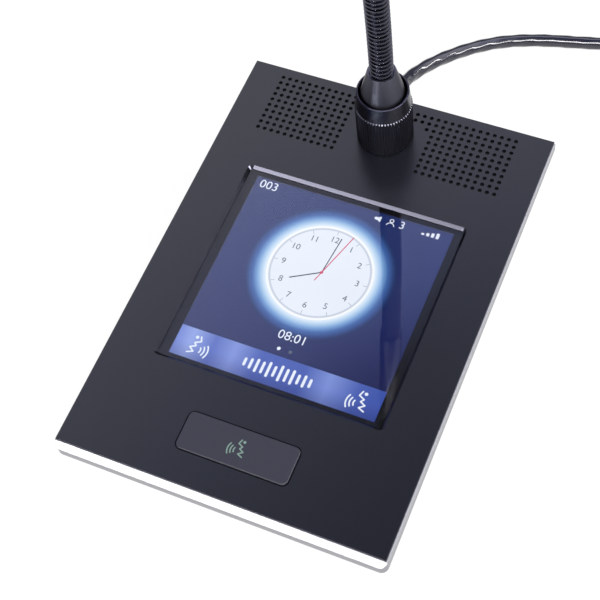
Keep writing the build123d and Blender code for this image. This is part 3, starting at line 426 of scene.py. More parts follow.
# Top row: a number at the left, then a loudspeaker, a listener with a number beside it, and four bars
# that rise to the right.
row_y = 0.0428
large_figure, small_figure = 0.0042, 0.0038
horn_back, horn_throat, horn_mouth, horn_half = 0.0112, 0.0120, 0.0131, 0.0010
horn_body, horn_line = 0.0014, 0.0007
listener_x, head_radius, head_rise, shoulder_radius, shoulder_drop = 0.0181, 0.0008, 0.0008, 0.0017, 0.0020
thin_line = 0.0004
signal_width, signal_pitch, signal_left, signal_foot = 0.0013, 0.0021, 0.0325, 0.0013
signal_least, signal_step = 0.0009, 0.0006
marks = bmesh.new()
numerals(marks, "003", large_figure, (-0.0385, row_y))
stroke(marks, [(horn_back, row_y), (horn_throat, row_y)], horn_body)
horn = [(horn_throat, row_y), (horn_mouth, row_y + horn_half), (horn_mouth, row_y - horn_half)]
stroke(marks, horn + horn[:1], horn_line)
stroke(marks, arc((listener_x, row_y + head_rise), head_radius, 0, 360, 14), thin_line)
stroke(marks, arc((listener_x, row_y - shoulder_drop), shoulder_radius, 15, 165, 10), thin_line)
numerals(marks, "3", small_figure, (0.0229, row_y))
for step in range(4):
    tall = signal_least + signal_step * step
    patch(marks, signal_width, tall, (signal_left + signal_pitch * step, row_y + tall / 2 - signal_foot))

# Below the clock: the time and two page dots, one of them dim. In the bar: a row of sound levels
# between two speech signs that face each other.
time_y, dots_y, dot_radius = -0.0224, -0.0287, 0.0008
level_shares = (0.42, 0.60, 0.82, 0.70, 0.95, 0.62, 1.0, 0.78, 0.90, 0.55, 0.72, 0.46)
level_middle, level_pitch, level_height, level_width = 0.0005, 0.0026, 0.0062, 0.0012
sign_height = 0.0086
numerals(marks, "08:01", large_figure, (0.0002, time_y))
disc(marks, dot_radius, (-0.0032, dots_y))
for step, share in enumerate(level_shares):
    x = level_middle + level_pitch * (step - (len(level_shares) - 1) / 2)
    tall = level_height * share / 2
    stroke(marks, [(x, bar_y - tall), (x, bar_y + tall)], level_width)
talk_mark(marks, (-0.0344, bar_y), sign_height, 1)
talk_mark(marks, (0.0354, bar_y), sign_height, -1)
lit_piece("picture_marks", marks, white_light, 3)
dim_dot = bmesh.new()
disc(dim_dot, dot_radius, (0.0019, dots_y))
lit_piece("picture_dim_dot", dim_dot, grey_light, 3)

# Printed border: black ink screened on the underside of the glass, in four strips that meet at the
# corners. It hides the gasket and the edge of the panel all round the picture.
glass_low = -0.0033
ink_depth = 0.00002
window_size = (0.1000, 0.09825)
margin = [(window_size[axis] - picture_size[axis]) / 2 for axis in (0, 1)]
ink = bmesh.new()
for side in (-1, 1):
    patch(ink, margin[0], window_size[1], (side * (window_size[0] - margin[0]) / 2, 0))
    patch(ink, picture_size[0], margin[1], (0, side * (window_size[1] - margin[1]) / 2))
# Screen ink: the deepest black on the unit, flat and with hardly any gloss
ink_black = grained(
    "black_screen_print", "#040405", "#070709", 0.001, 0.4, 0.05, 0.02, Specular_IOR_Level=0.15
)
ink_place = deck @ Matrix.Translation((0, picture_y, glass_low + ink_depth))
finished("glass_border_print", ink, ink_black, "root", (), ink_place)

# Main board: glass-fibre laminate with its packages soldered on, screwed on spacers under the display.
# Two smaller boards of the same laminate carry the talk switches and the network jacks.
# Laminate: dark green, with the weave as a fine mottle
laminate = grained("green_laminate", "#16452C", "#1E5638", 0.0012, 0.4, 0.08, 0.1)
# Epoxy packages: charcoal black with a fine dull texture
black_epoxy = grained("black_epoxy_package", "#141414", "#1E1E1E", 0.0005, 0.5, 0.05, 0.1)
dress(laminate, "main_board", "button_board", "connector_board")
dress(black_epoxy, "board_parts", "button_switches", "switch_stems")

# Talk button: a moulded cap with a soft-touch lacquer, which slides in the plate's slot on a return
# spring. A clear acrylic pipe stands under it and lights the green-grey sign on its face.
# Soft-touch lacquer: dark grey with a dull, slightly velvety sheen
soft_touch = grained("soft_touch_black", "#1A1A24", "#22222D", 0.0003, 0.42, 0.04, 0.1)
dress(soft_touch, "talk_button")
# Acrylic: clear, with a faint green in its depth
acrylic = clear("clear_acrylic", "#F2FFF6", 0.1, 1.49)
dress(acrylic, "button_light_pipe")
button_y = 0.0218
button_top = 0.0008
mark_film = 0.00002
cap_sign_height = 0.0071
mark = bmesh.new()
talk_mark(mark, (0, 0), cap_sign_height, -1)
mark_place = deck @ Matrix.Translation((0, button_y, button_top + mark_film))
mark_light = lit("lit_button_mark", even("#7E9A90", "#93ADA2"))
finished("button_mark", mark, mark_light, "talk_button", (), mark_place)

# Speakers: one on each side of the microphone, with a pressed steel basket, a paper cone and a ferrite
# magnet glued together. One piece of open cloth lies between them and the drilled holes.
# Acoustic cloth: black with no shine, so that the holes look empty
cloth = grained("acoustic_cloth", "#060607", "#0C0C0D", 0.0005, 0.95, 0.03, 0.4)
# Paper cone: a soft dull black
paper = grained("black_paper_cone", "#101010", "#1A1A1A", 0.001, 0.9, 0.05, 0.2)
# Ferrite: dark iron grey, dull as stone
ferrite = grained("ferrite", "#26262A", "#303034", 0.0008, 0.6, 0.05, 0.1)
dress(cloth, "grille_cloth")
dress(paper, "speaker_cone_left", "speaker_cone_right")
dress(ferrite, "speaker_magnet_left", "speaker_magnet_right")
dress(rolled_steel, "speaker_basket_left", "speaker_basket_right")

# Bottom cover: a tray of pressed sheet steel that closes the frame from below, held by four of the
# case screws.
# Powder coat: satin black with a fine orange-peel relief
powder_black = grained("black_powder_coat", "#161618", "#1F1F22", 0.0005, 0.6, 0.06, 0.25)
dress(powder_black, "bottom_cover")

# Stand: a wedge cast in the same silver aluminium and screwed under the rear half, with a moulded panel
# for the network jacks at its back. Rubber feet stand under it and under the frame's front.
# Moulded ABS: an even black, half glossy, with a fine grain
moulded_black = grained("black_abs_moulding", "#121214", "#1A1A1D", 0.0004, 0.45, 0.05, 0.12)
# Rubber: charcoal black, nearly matt
rubber = grained("black_rubber", "#131313", "#1B1B1B", 0.0006, 0.8, 0.05, 0.2)
dress(satin_casting, "stand_shell")
dress(moulded_black, "rear_panel")
dress(rubber, "front_foot", "rear_feet")
dress(moulded_black, "network_sockets")

# Microphone socket: a nickel-plated round connector held in the plate by its ring nut, with the
# moulded plug of the microphone standing in it.
# Nickel plating: a smooth, slightly warm silver
socket_metal = grained("nickel_plate", "#9A9A98", "#AEAEAC", 0.0006, 0.25, 0.05, 0.03, Metallic=1.0)
dress(socket_metal, "mic_socket", "socket_nut", "mic_capsule")
dress(moulded_black, "mic_plug")


def lathe(profile, steps=64, closed=True):
    """A shape turned from a profile of (radius, height) points, one step after another."""
    shape = bmesh.new()
    corners = [shape.verts.new((radius, 0, height)) for radius, height in profile]
    after = corners[1:] + corners[:1] if closed else corners[1:]
    rims = [shape.edges.new(pair) for pair in zip(corners, after)]
    spun = {"axis": (0, 0, 1), "cent": (0, 0, 0), "angle": math.tau, "steps": steps, "use_merge": True}
    bmesh.ops.spin(shape, geom=corners + rims, **spun)
    bmesh.ops.remove_doubles(shape, verts=shape.verts, dist=0.000001)
    bmesh.ops.recalc_face_normals(shape, faces=shape.faces)
    return shape


def soften(shape, width, segments=2):
    """Rounds every edge that turns by more than 35 degrees."""
    sharp = [edge for edge in shape.edges if edge.calc_face_angle(0) > math.radians(35)]
    bmesh.ops.bevel(
        shape, geom=sharp, affect="EDGES", offset=width, offset_type="OFFSET", segments=segments,
        profile=0.5, material=-1, clamp_overlap=True,
    )


# Locking collar: turned from black anodised bar. Its lower part is knurled with straight flutes whose
# upper ends are chamfered, so that they catch the light as a row of dots, brightened by a painted highlight
# in the lighter metal of the chamfers, and a plain band is above.
# Turned and anodised black: near black, with bright lines along the axis where it faces a lamp
turned_black = grained(
    "black_anodised_turning", "#30303B", "#3B3B47", 0.0004, 0.3, 0.04, 0.04, turned=True, Metallic=1.0
)
# Plain band: the same black turned finer, so that it mirrors more sharply than the knurl
plain_band = grained(
    "fine_turned_black_band", "#4A4A53", "#565660", 0.0004, 0.2, 0.03, 0.03, turned=True, Metallic=1.0
)
# Chamfer metal: a grey lighter than the black, a painted highlight that makes the glints on the chamfers
# show as the row of dots
glint_chamfer_metal = grained("painted_glint_chamfer_metal", "#8C8C96", "#A0A0AA", 0.0003, 0.36, 0.05, 0.03, Metallic=1.0)
knurl_radius = 0.0123
knurl_margin = 0.00015
flute_count = 60
flute_radius = 0.01195
flute_steps = 6
crest_steps = 2
chamfer_low = 0.02172
chamfer_high = 0.0221
band_high = 0.0303
mouth_radius = 0.0106
collar_profile = [
    (0.0115, 0.0003), (0.0115, 0.0028), (0.0093, 0.0028), (0.0093, 0.0090), (0.0103, 0.0090),
    (0.0103, 0.0122), (0.0097, 0.0122), (0.0097, 0.0137), (0.0105, 0.0137), (0.0105, 0.0290),
    (0.0103, 0.0296), (0.0103, 0.0304), (0.0105, 0.0306), (0.0109, 0.0306), (0.0112, band_high),
    (0.0119, 0.0224), (0.0117, chamfer_high), (knurl_radius, chamfer_low), (knurl_radius, 0.0009),
    (0.0118, 0.0003),
]
collar = lathe(collar_profile, flute_count * flute_steps)
for corner in collar.verts:
    reach = corner.co.xy.length
    turns = math.atan2(corner.co.y, corner.co.x) / math.tau
    step = round(turns * flute_count * flute_steps) % flute_steps
    if reach > knurl_radius - knurl_margin and step >= crest_steps:
        corner.co.xy *= flute_radius / reach
# The chamfer facets take the lighter metal, a painted highlight for the row of dots, and the band takes its
# finer finish
for facet in collar.faces:
    centre = facet.calc_center_median()
    if chamfer_low < centre.z < chamfer_high and centre.xy.length > flute_radius:
        facet.material_index = 1
    elif chamfer_high < centre.z < band_high and centre.xy.length > mouth_radius:
        facet.material_index = 2
knurled = finished("knurled_collar", collar, turned_black, "lock_collar", ["lock_collar"], mast)
knurled.data.materials.append(glint_chamfer_metal)
knurled.data.materials.append(plain_band)

# Cone sleeve: turned from aluminium bar and anodised black. It grips the foot of the gooseneck and
# stands in the collar's mouth.
# Satin black anodising: lighter and softer than the collar's, with one broad highlight
sleeve_black = grained(
    "satin_black_anodising", "#4B4B56", "#555560", 0.0004, 0.3, 0.04, 0.04, turned=True, Metallic=1.0
)
sleeve_profile = [
    (0.0020, 0.0121), (0.00945, 0.0121), (0.00945, 0.0296), (0.00941, 0.0301), (0.00932, 0.0305),
    (0.0062, 0.0426), (0.00595, 0.0430), (0.0052, 0.0430), (0.0052, 0.0360), (0.0020, 0.0360),
]
sleeve = lathe(sleeve_profile, 96)
finished("cone_sleeve_turned", sleeve, sleeve_black, "root", ["cone_sleeve"], mast)

# Gooseneck: a wound steel hose, black coated. Each link is a stack of round ribs with a bore at its
# foot and a peg at its tip, so the links turn on each other without opening a gap.
# Black nickel on steel: dark and polished, so that each rib carries a small sharp highlight
neck_black = grained("black_nickel_steel", "#4A4A55", "#565662", 0.0006, 0.2, 0.04, 0.04, Metallic=1.0)
rib_pitch = 0.0024
rib_gap = 0.0008
rib_crest = 0.0051
rib_root = 0.0044
rib_steps = 6
rib_fullness = 0.7
wire_hole = 0.0020
link_bore = (0.0036, 0.0033)
link_peg = (0.0031, 0.0020)
lower_ribs, upper_ribs = 7, 5
last_lower, last_upper = 8, 12
rest_bend = math.radians(8)
neck_foot = 0.0360
stem_above, stem_length, head_above = 0.0110, 0.1250, 0.0062
link_bodies = {1: "root", 8: "stem", 9: "stem", 12: "head"}


def neck_link(ribs, peg=True):
    """One link: its ribs are half rounds, with a groove between each and the next."""
    length = ribs * rib_pitch
    reach = rib_pitch - rib_gap
    profile = [(wire_hole, link_bore[1]), (link_bore[0], link_bore[1]), (link_bore[0], 0)]
    for rib in range(ribs):
        for step in range(rib_steps + 1):
            angle = math.pi * step / rib_steps
            out = rib_root + (rib_crest - rib_root) * math.sin(angle) ** rib_fullness
            profile.append((out, rib * rib_pitch + reach * (1 - math.cos(angle)) / 2))
    tip = length - rib_gap
    if peg:
        profile += [(link_peg[0], tip), (link_peg[0], length + link_peg[1])]
        tip = length + link_peg[1]
    return lathe(profile + [(wire_hole, tip)], 56), length


def lift(height):
    """A step up along a piece's own axis."""
    return Matrix.Translation((0, 0, height))


place = mast @ lift(neck_foot)
for number in range(1, last_upper + 1):
    ribs = lower_ribs if number <= last_lower else upper_ribs
    link, length = neck_link(ribs, number not in (last_lower, last_upper))
    node = f"neck_{number}"
    body = link_bodies.get(number, node)
    finished(f"neck_link_{number}", link, neck_black, body, [node], place)
    if number == last_lower:
        stem_place = place @ lift(stem_above)
        place = stem_place @ lift(stem_length)
    elif number == last_upper:
        head_place = place @ lift(head_above)
    else:
        bend = rest_bend / (last_lower - 1) if number < last_lower else 0
        place = place @ lift(length - rib_gap / 2) @ Matrix.Rotation(bend, 4, "X") @ lift(rib_gap / 2)

# Stem: a drawn aluminium tube between the two flexible parts, anodised like the cone sleeve and
# pressed over the links at its ends.
stem_profile = [
    (0.0052, 0), (0.0060, 0), (0.0060, 0.1300), (0.0052, 0.1300), (0.0052, 0.1250), (0.0020, 0.1250),
    (0.0020, 0.0050), (0.0052, 0.0050),
]
stem = lathe(stem_profile)
soften(stem, 0.00025)
finished("stem_tube_drawn", stem, sleeve_black, "stem", ["stem_tube"], stem_place)

# Head: a tapered body, a red acrylic ring that lights when the microphone is on, and a woven steel
# grille over black foam.
head_profile = [
    (0.0052, 0), (0.0060, 0), (0.0080, 0.0120), (0.0080, 0.0260), (0.0055, 0.0260), (0.0055, 0.0370),
    (0.0020, 0.0370), (0.0020, 0.0050), (0.0052, 0.0050),
]
head = lathe(head_profile)
soften(head, 0.0003, 3)
finished("head_body_turned", head, sleeve_black, "head", ["head_body"], head_place)
# Red acrylic: deep red with some depth, glossy, dark while its lamp is off
ring_acrylic = grained("red_acrylic", "#7A0E12", "#8E161A", 0.002, 0.25, 0.05, 0.02, Transmission_Weight=0.3)
grille_low = 0.0310
light_ring = lathe([(0.0056, 0.0260), (0.0083, 0.0260), (0.0083, grille_low), (0.0056, grille_low)])
soften(light_ring, 0.0004, 3)
finished("light_ring_moulded", light_ring, ring_acrylic, "head", ["light_ring"], head_place)
grille_radius = 0.0080
dome_start = 0.0480
mesh_step = 0.0010
wire_thick = 0.0004
rows = round((dome_start - grille_low) / mesh_step)
net_profile = [(grille_radius, grille_low + (dome_start - grille_low) * row / rows) for row in range(rows)]
dome_rows = round(math.pi / 2 * grille_radius / mesh_step)
net_profile += arc((0, dome_start), grille_radius, 0, 90, dome_rows)[:-1]
net = lathe(net_profile, 50, closed=False)
# Woven wire: blackened steel whose wires carry a fine glint
wire_black = grained("black_woven_wire", "#0D0D10", "#17171B", 0.0004, 0.35, 0.06, 0.1, Metallic=0.4)
grille = finished("head_grille_net", net, wire_black, "head", ["head_grille"], head_place)
wires = grille.modifiers.new("wires", "WIREFRAME")
wires.thickness = wire_thick
wires.use_even_offset = False
band_inner, band_top = 0.0074, 0.0325
band = lathe([
    (band_inner, grille_low), (grille_radius, grille_low), (grille_radius, band_top), (band_inner, band_top),
])
soften(band, 0.0002)
finished("grille_band", band, wire_black, "head", (), head_place)
foam_radius, foam_low, foam_hollow = 0.0072, 0.0312, 0.0440
foam_profile = [(0.0056, foam_low), (foam_radius, foam_low), (foam_radius, dome_start)]
foam_profile += arc((0, dome_start), foam_radius, 9, 90, 9)
foam_profile += [(0, foam_hollow), (0.0052, foam_hollow), (0.0056, 0.0372)]
finished("grille_foam", lathe(foam_profile), gasket_foam, "head", (), head_place)

# Network lead: a black jacket, 6.4 mm across, drawn over four twisted pairs that press through it as
# faint ridges. It lies as in the photograph from the unit's rear to the right, and is then put away in
# a flat round coil that a strap holds.
lead_diameter = 0.0064
lobes = 4
lobe_depth = 0.0003
twist_pitch = 0.046
round_steps = 32
lead_rest = (lead_diameter + lobe_depth) / 2
run_route = [
    (-0.0200, 0.126404, 0.029953),
    (-0.0200, 0.135852, 0.028960),
    (-0.0203, 0.1440, 0.0250),
    (-0.0212, 0.1500, 0.0182),
    (-0.0225, 0.1560, 0.0114),
    (-0.0236, 0.1636, 0.0069),
    (-0.0237, 0.1724, 0.0044),
    (-0.0219, 0.1816, lead_rest),
    (-0.0170, 0.1928, lead_rest),
    (-0.0098, 0.2041, lead_rest),
    (-0.0003, 0.2157, lead_rest),
    (0.0121, 0.2265, lead_rest),
    (0.0290, 0.2352, lead_rest),
    (0.0530, 0.2426, lead_rest),
    (0.0720, 0.2495, lead_rest),
    (0.0900, 0.2576, 0.0036),
    (0.1070, 0.26285, 0.0046),
    (0.1226, 0.26285, 0.0046),
]
coil_centre = Vector((0.129, 0.216))
coil_pitch = 0.0071
coil_inner = 0.022
coil_low = 0.0046
turns_in, turns_out, points_per_half = 7, 6, 8
tail_route = [
    (0.1490, 0.25575, 0.0117),
    (0.1670, 0.2528, 0.0112),
    (0.1805, 0.2440, 0.0082),
    (0.1890, 0.2305, 0.0054),
    (0.1915, 0.2140, 0.0043),
    (0.1910, 0.1995, 0.0043),
]


def coil_route():
    """Half turns that spiral in by half a pitch each, climb a layer at the middle and spiral out."""
    radii = [coil_inner + step * coil_pitch / 2 for step in range(turns_in, -1, -1)]
    radii += [coil_inner + step * coil_pitch / 2 for step in range(1, turns_out + 1)]
    angle = math.pi / points_per_half
    y = coil_centre.y + radii[0]
    route = []
    for step, radius in enumerate(radii):
        side = 1 if step % 2 == 0 else -1
        middle = y - side * radius
        for point in range(points_per_half):
            turn = (point + 0.5) * angle
            reach = side * radius / math.cos(angle / 2)
            share = min(max(step - turns_in + (point + 0.5) / points_per_half, 0), 1)
            z = coil_low + coil_pitch * share
            route.append((coil_centre.x + reach * math.sin(turn), middle + reach * math.cos(turn), z))
        y -= side * 2 * radius
    return route


def smooth_curve(name, route):
    """A curve whose line is one smooth spline with the route's points as its control points."""
    curve = bpy.data.curves.new(name, "CURVE")
    curve.dimensions = "3D"
    spline = curve.splines.new("NURBS")
    spline.points.add(len(route) - 1)
    for point, place in zip(spline.points, route):
        point.co = (*place, 1)
    spline.order_u = 3
    spline.use_endpoint_u = True
    spline.resolution_u = 6
    made = bpy.data.objects.new(name, curve)
    scene.collection.objects.link(made)
    return made


def ring(shape, corners):
    """Adds a closed ring of edges round its corners."""
    made = [shape.verts.new(corner) for corner in corners]
    return [shape.edges.new(pair) for pair in zip(made, made[1:] + made[:1])]


def skin(shape, rings):
    """Covers a row of rings with one closed skin."""
    for first, second in zip(rings, rings[1:]):
        bmesh.ops.bridge_loops(shape, edges=first + second)
    bmesh.ops.edgenet_fill(shape, edges=rings[0])
    bmesh.ops.edgenet_fill(shape, edges=rings[-1])
    bmesh.ops.recalc_face_normals(shape, faces=shape.faces)


guide = smooth_curve("lead_guide", run_route + coil_route() + tail_route)
line = bpy.data.meshes.new_from_object(guide)
lead_path = [corner.co.copy() for corner in line.vertices]
tube = bmesh.new()
lead_so_far = 0.0
sideways = Vector((1, 0, 0))
lead_rings = []
for step, point in enumerate(lead_path):
    before, after = lead_path[max(step - 1, 0)], lead_path[min(step + 1, len(lead_path) - 1)]
    heading = (after - before).normalized()
    sideways = (sideways - heading * sideways.dot(heading)).normalized()
    upwards = heading.cross(sideways)
    lead_so_far += (point - before).length
    corners = []
    for part in range(round_steps):
        angle = math.tau * part / round_steps
        wave = math.cos(lobes * (angle + math.tau * lead_so_far / twist_pitch))
        radius = (lead_diameter + lobe_depth * wave) / 2
        corners.append(point + (sideways * math.cos(angle) + upwards * math.sin(angle)) * radius)
    lead_rings.append(ring(tube, corners))
skin(tube, lead_rings)
# Glossy PVC: nearly black under a clear skin that draws a thin white streak along the lead
jacket = grained(
    "glossy_pvc_jacket", "#14141F", "#1B1B28", 0.004, 0.16, 0.03, 0.05,
    Coat_Weight=1.0, Coat_IOR=1.5, Coat_Roughness=0.12,
)
lead_nodes = ["cable_run", "cable_coil", "cable_tail"]
lead = finished("network_lead", tube, jacket, "root", lead_nodes)
bpy.data.objects.remove(guide)

# Network plugs: a clear moulded body with eight gold-plated blades and a springy latch, and a black
# boot with ribs moulded over the end of the lead. One is in the unit's jack, one at the far end.
plug_body = (0.0116, 0.0210, 0.0079)
latch_size, latch_y, latch_drop, latch_tilt = (0.0060, 0.0125, 0.0008), 0.0072, 0.0003, -0.10
blade_size, blade_y, blade_depth = (0.00030, 0.0032, 0.0020), 0.0020, 0.0009
blade_count, blade_pitch = 8, 0.00102
boot_size = (0.0110, 0.0086)
boot_end = 0.0038
boot_length = 0.0200
boot_rings = 16
boot_steps = 32
boot_groove = 0.0004
boot_squareness = 0.45
jack_nose = (-0.0200, 0.08543, 0.0310)
near_droop = math.radians(6)
# Polycarbonate: clear and faintly blue, with soft reflections
plug_clear = clear("clear_polycarbonate", "#F4F8FF", 0.08, 1.58)
# Gold plating: a warm bright yellow on the contact blades
gold = grained("gold_plate", "#C89A3C", "#DCB254", 0.0005, 0.22, 0.05, 0.03, Metallic=1.0)


def brick(shape, size, middle, tilt=0.0):
    """Adds a block of a size about a point, tipped about its own x axis."""
    lie = Matrix.Translation(middle) @ Matrix.Rotation(tilt, 4, "X") @ Matrix.Diagonal((*size, 1))
    bmesh.ops.create_cube(shape, size=1.0, matrix=lie)


def network_plug(name, place, droop, node):
    """A plug with its nose at y = 0 and its lead leaving along y, which bends down by an angle."""
    width, length, height = plug_body
    body = bmesh.new()
    brick(body, plug_body, (0, length / 2, 0))
    brick(body, latch_size, (0, latch_y, -height / 2 - latch_drop), latch_tilt)
    soften(body, 0.00035)
    plug = finished(name, body, plug_clear, "root", [node], place)
    blades = bmesh.new()
    for number in range(blade_count):
        x = (number - (blade_count - 1) / 2) * blade_pitch
        brick(blades, blade_size, (x, blade_y, height / 2 - blade_depth))
    finished(name + "_blades", blades, gold, "root", (), place)
    boot = bmesh.new()
    rings = []
    for step in range(boot_rings + 1):
        share = step / boot_rings
        groove = boot_groove if step % 3 == 1 and step < boot_rings - 2 else 0.0
        half = [(size / 2) * (1 - share) + boot_end * share - groove for size in boot_size]
        drop = boot_length * share * math.tan(droop / 2)
        lie = Matrix.Translation((0, length + boot_length * share, -drop))
        lie = lie @ Matrix.Rotation(-droop * share - math.pi / 2, 4, "X")
        power = 1 - boot_squareness * (1 - share)
        corners = []
        for part in range(boot_steps):
            turn = math.tau * part / boot_steps
            x, y = math.cos(turn), math.sin(turn)
            x, y = math.copysign(abs(x) ** power, x), math.copysign(abs(y) ** power, y)
            corners.append(lie @ Vector((x * half[0], y * half[1], 0)))
        rings.append(ring(boot, corners))
    skin(boot, rings)
    return [plug, finished(name + "_boot", boot, rubber, "root", (), place)]


near_place = Matrix.Translation(jack_nose)
tail_end = Vector(tail_route[-1]) - Vector(tail_route[-2])
facing = Matrix.Rotation(math.atan2(tail_end.y, tail_end.x) + math.pi / 2, 4, "Z")
back_up = Matrix.Translation((0, -plug_body[1] - boot_length, 0))
far_place = Matrix.Translation(tail_route[-1]) @ facing @ back_up @ Matrix.Rotation(math.pi, 4, "Y")
plug_pieces = network_plug("near_plug", near_place, near_droop, "cable_plug")
plug_pieces += network_plug("end_plug", far_place, 0.0, "far_plug")

# Strap: a band of woven hook-and-loop tape, 10 mm wide, wrapped once round the coil's turns and pressed
# onto itself.
strap_thick = 0.0010
strap_width = 0.0100
strap_y = (0.16515, 0.19475)
strap_z = (0.0005, 0.0157)
strap_round = 0.0035
strap_x = coil_centre.x
outline = []
for far, high, start in ((1, 0, 270), (1, 1, 0), (0, 1, 90), (0, 0, 180)):
    bend_y = strap_y[far] + (-strap_round if far else strap_round)
    bend_z = strap_z[high] + (-strap_round if high else strap_round)
    outline += arc((bend_y, bend_z), strap_round, start, start + 90, 6)
strap = bmesh.new()
near_edge = ring(strap, [(strap_x - strap_width / 2, y, z) for y, z in outline])
drawn = bmesh.ops.extrude_edge_only(strap, edges=near_edge)
moved = [item for item in drawn["geom"] if isinstance(item, bmesh.types.BMVert)]
bmesh.ops.translate(strap, verts=moved, vec=(strap_width, 0, 0))
bmesh.ops.recalc_face_normals(strap, faces=strap.faces)
# Woven tape: matt black with a rough, slightly mottled pile
tape = grained("woven_hook_and_loop_tape", "#0A0A0B", "#17171A", 0.0006, 0.9, 0.04, 0.6)
wrap = finished("coil_strap", strap, tape, "root", ["cable_tie"])
thickness = wrap.modifiers.new("thickness", "SOLIDIFY")
thickness.thickness = strap_thick
thickness.offset = 0

# Studio: a plain white floor that keeps the unit's shadow, an even white sky, four soft lamps, and the
# camera where the photograph was taken from.
# White sweep: matt white, which the camera sees as a share of plain white so that it meets the sky
floor_size = 3.0
camera_white = 0.92
mirrored_white = 0.85
floor_mesh = bpy.data.meshes.new("floor")
floor_shape = bmesh.new()
bmesh.ops.create_grid(floor_shape, x_segments=1, y_segments=1, size=floor_size)
floor_shape.to_mesh(floor_mesh)
floor_shape.free()
floor = bpy.data.objects.new("floor", floor_mesh)
scene.collection.objects.link(floor)
floor_finish, floor_tree = blank("white_sweep")
floor_rays = add(floor_tree, "LightPath").outputs
matt = add(floor_tree, "BsdfDiffuse", {"Color": linear("#FCFCFC")})
mirrored = floor_rays["Is Glossy Ray"]
strength = add(floor_tree, "MapRange", {"Value": mirrored, "To Min": 1.0, "To Max": mirrored_white})
bright = add(floor_tree, "Emission", {"Color": linear("#FFFFFF"), "Strength": strength.outputs[0]})
direct = add(floor_tree, "Math", {0: floor_rays["Is Camera Ray"], 1: camera_white}, operation="MULTIPLY")
lit_share = add(floor_tree, "Math", {0: direct.outputs[0], 1: mirrored}, operation="MAXIMUM")
both = add(floor_tree, "MixShader", {0: lit_share.outputs[0], 1: matt.outputs[0], 2: bright.outputs[0]})
add(floor_tree, "OutputMaterial", {"Surface": both.outputs[0]})
floor_mesh.materials.append(floor_finish)

# Sky: white to the camera and even for all that is matt. What gloss mirrors is a dim room instead,
# with a bright bank of lamps high behind the unit, a paler wall low on the right and a dark ceiling.
sky_level = 0.50
room_level = 2.0
world = bpy.data.worlds.new("studio")
world.use_nodes = True
sky = world.node_tree
sky.nodes.clear()
rays = add(sky, "LightPath").outputs
seen = add(sky, "Math", {0: rays["Is Camera Ray"], 1: rays["Is Glossy Ray"]}, operation="MAXIMUM")
white = add(sky, "Math", {0: seen.outputs[0], 1: rays["Is Transmission Ray"]}, operation="MAXIMUM")
level = add(sky, "MapRange", {"Value": white.outputs[0], "To Min": sky_level, "To Max": 1.0})
even_light = add(sky, "Background", {"Color": linear("#FFFFFF"), "Strength": level.outputs[0]})
around = add(sky, "TexCoord").outputs["Generated"]
way = add(sky, "SeparateXYZ", {"Vector": around}).outputs
bank = add(sky, "ValToRGB", {"Fac": way["Z"]}, [
    (0.0, "#50505A"), (0.60, "#54545E"), (0.70, "#70707C"), (0.80, "#E2E2F0"), (0.88, "#F4F4FF"),
    (0.92, "#C4C8E8"), (0.95, "#98A0C9"), (0.965, "#606480"), (1.0, "#0C0D14"),
])
room = add(sky, "ValToRGB", {"Fac": way["Z"]}, [(0.0, "#606064"), (0.60, "#707078"), (1.0, "#0C0D14")])
rearward = add(sky, "MapRange", {"Value": way["Y"], "From Min": -0.4, "From Max": 0.1})
rightward = add(sky, "MapRange", {"Value": way["X"], "From Min": 0.25, "From Max": 0.5})
downward = add(sky, "MapRange", {"Value": way["Z"], "From Min": 0.45, "From Max": 0.30})
low_right = add(sky, "Math", {0: rightward.outputs[0], 1: downward.outputs[0]}, operation="MULTIPLY")
wall = add(sky, "Math", {0: low_right.outputs[0], 1: rearward.outputs[0]}, operation="MULTIPLY")
rooms = {0: rearward.outputs[0], 6: room.outputs["Color"], 7: bank.outputs["Color"]}
upper = add(sky, "Mix", rooms, data_type="RGBA")
walls = {0: wall.outputs[0], 6: upper.outputs[2], 7: linear("#B4B4B9")}
mirrored_room = add(sky, "Mix", walls, data_type="RGBA")
dim_room = add(sky, "Background", {"Color": mirrored_room.outputs[2], "Strength": room_level})
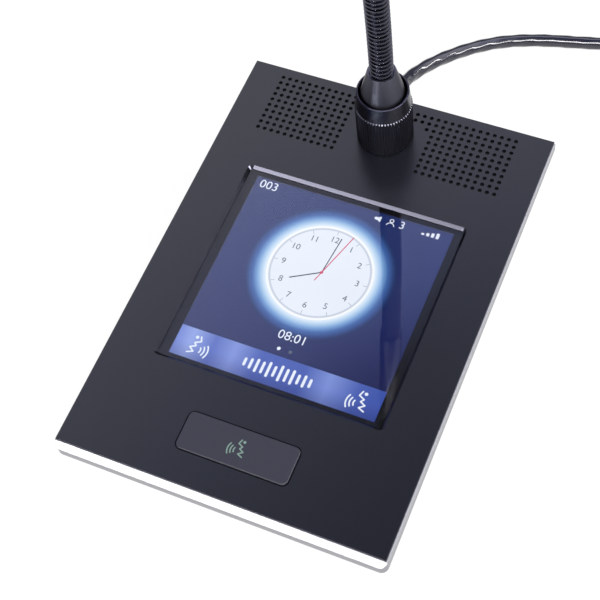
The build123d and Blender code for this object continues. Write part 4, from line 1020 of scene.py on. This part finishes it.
skies = {0: rays["Is Glossy Ray"], 1: even_light.outputs[0], 2: dim_room.outputs[0]}
add(sky, "OutputWorld", {"Surface": add(sky, "MixShader", skies).outputs[0]})
scene.world = world


def softbox(name, place, target, size, radiance):
    """A rectangular area lamp of a width and a height that points at a place."""
    lamp = bpy.data.lights.new(name, "AREA")
    lamp.shape = "RECTANGLE"
    lamp.size, lamp.size_y = size
    lamp.energy = radiance * math.pi * size[0] * size[1]
    made = bpy.data.objects.new(name, lamp)
    made.location = place
    made.rotation_euler = (Vector(target) - Vector(place)).to_track_quat("-Z", "Y").to_euler()
    scene.collection.objects.link(made)


# Lamps: two wide ones over the front and the right give the plate its even tone, one at the side draws
# the streak on the lead and the deck's right edge, and a low one in front lights the lip.
deck_middle = (0, 0.05, 0.03)
softbox("lamp_front", (0.52, -1.19, 1.25), deck_middle, (1.7, 0.45), 17)
softbox("lamp_right", (1.55, -0.35, 1.10), deck_middle, (1.0, 0.40), 16)
softbox("lamp_side", (1.43, 0.83, 1.24), (0, 0.18, 0.01), (0.9, 0.35), 15)
softbox("lamp_low", (-0.44, -1.52, 0.34), (0, -0.08, 0.01), (0.9, 0.35), 11)

# Camera: solved from the deck's four corners. Its axis meets the picture a few pixels off the middle,
# which the shift holds.
focal_pixels = 1375.3
frame_pixels = 600
principal = (293.1, 312.3)
camera_place = (0.1458, -0.3567, 0.4494)
forward = Vector((-0.2659, 0.6094, -0.7470)).normalized()
right = Vector((0.9166, 0.3998, -0.0002)).normalized()
up = right.cross(forward).normalized()
lens = bpy.data.cameras.new("camera")
lens.sensor_width = 36
lens.lens = focal_pixels / frame_pixels * lens.sensor_width
lens.shift_x = (frame_pixels / 2 - principal[0]) / frame_pixels
lens.shift_y = (principal[1] - frame_pixels / 2) / frame_pixels
camera = bpy.data.objects.new("camera", lens)
turn = Matrix((right, up, -forward)).transposed().to_4x4()
camera.matrix_world = Matrix.Translation(camera_place) @ turn
scene.collection.objects.link(camera)
scene.camera = camera
scene.view_settings.view_transform = "Standard"
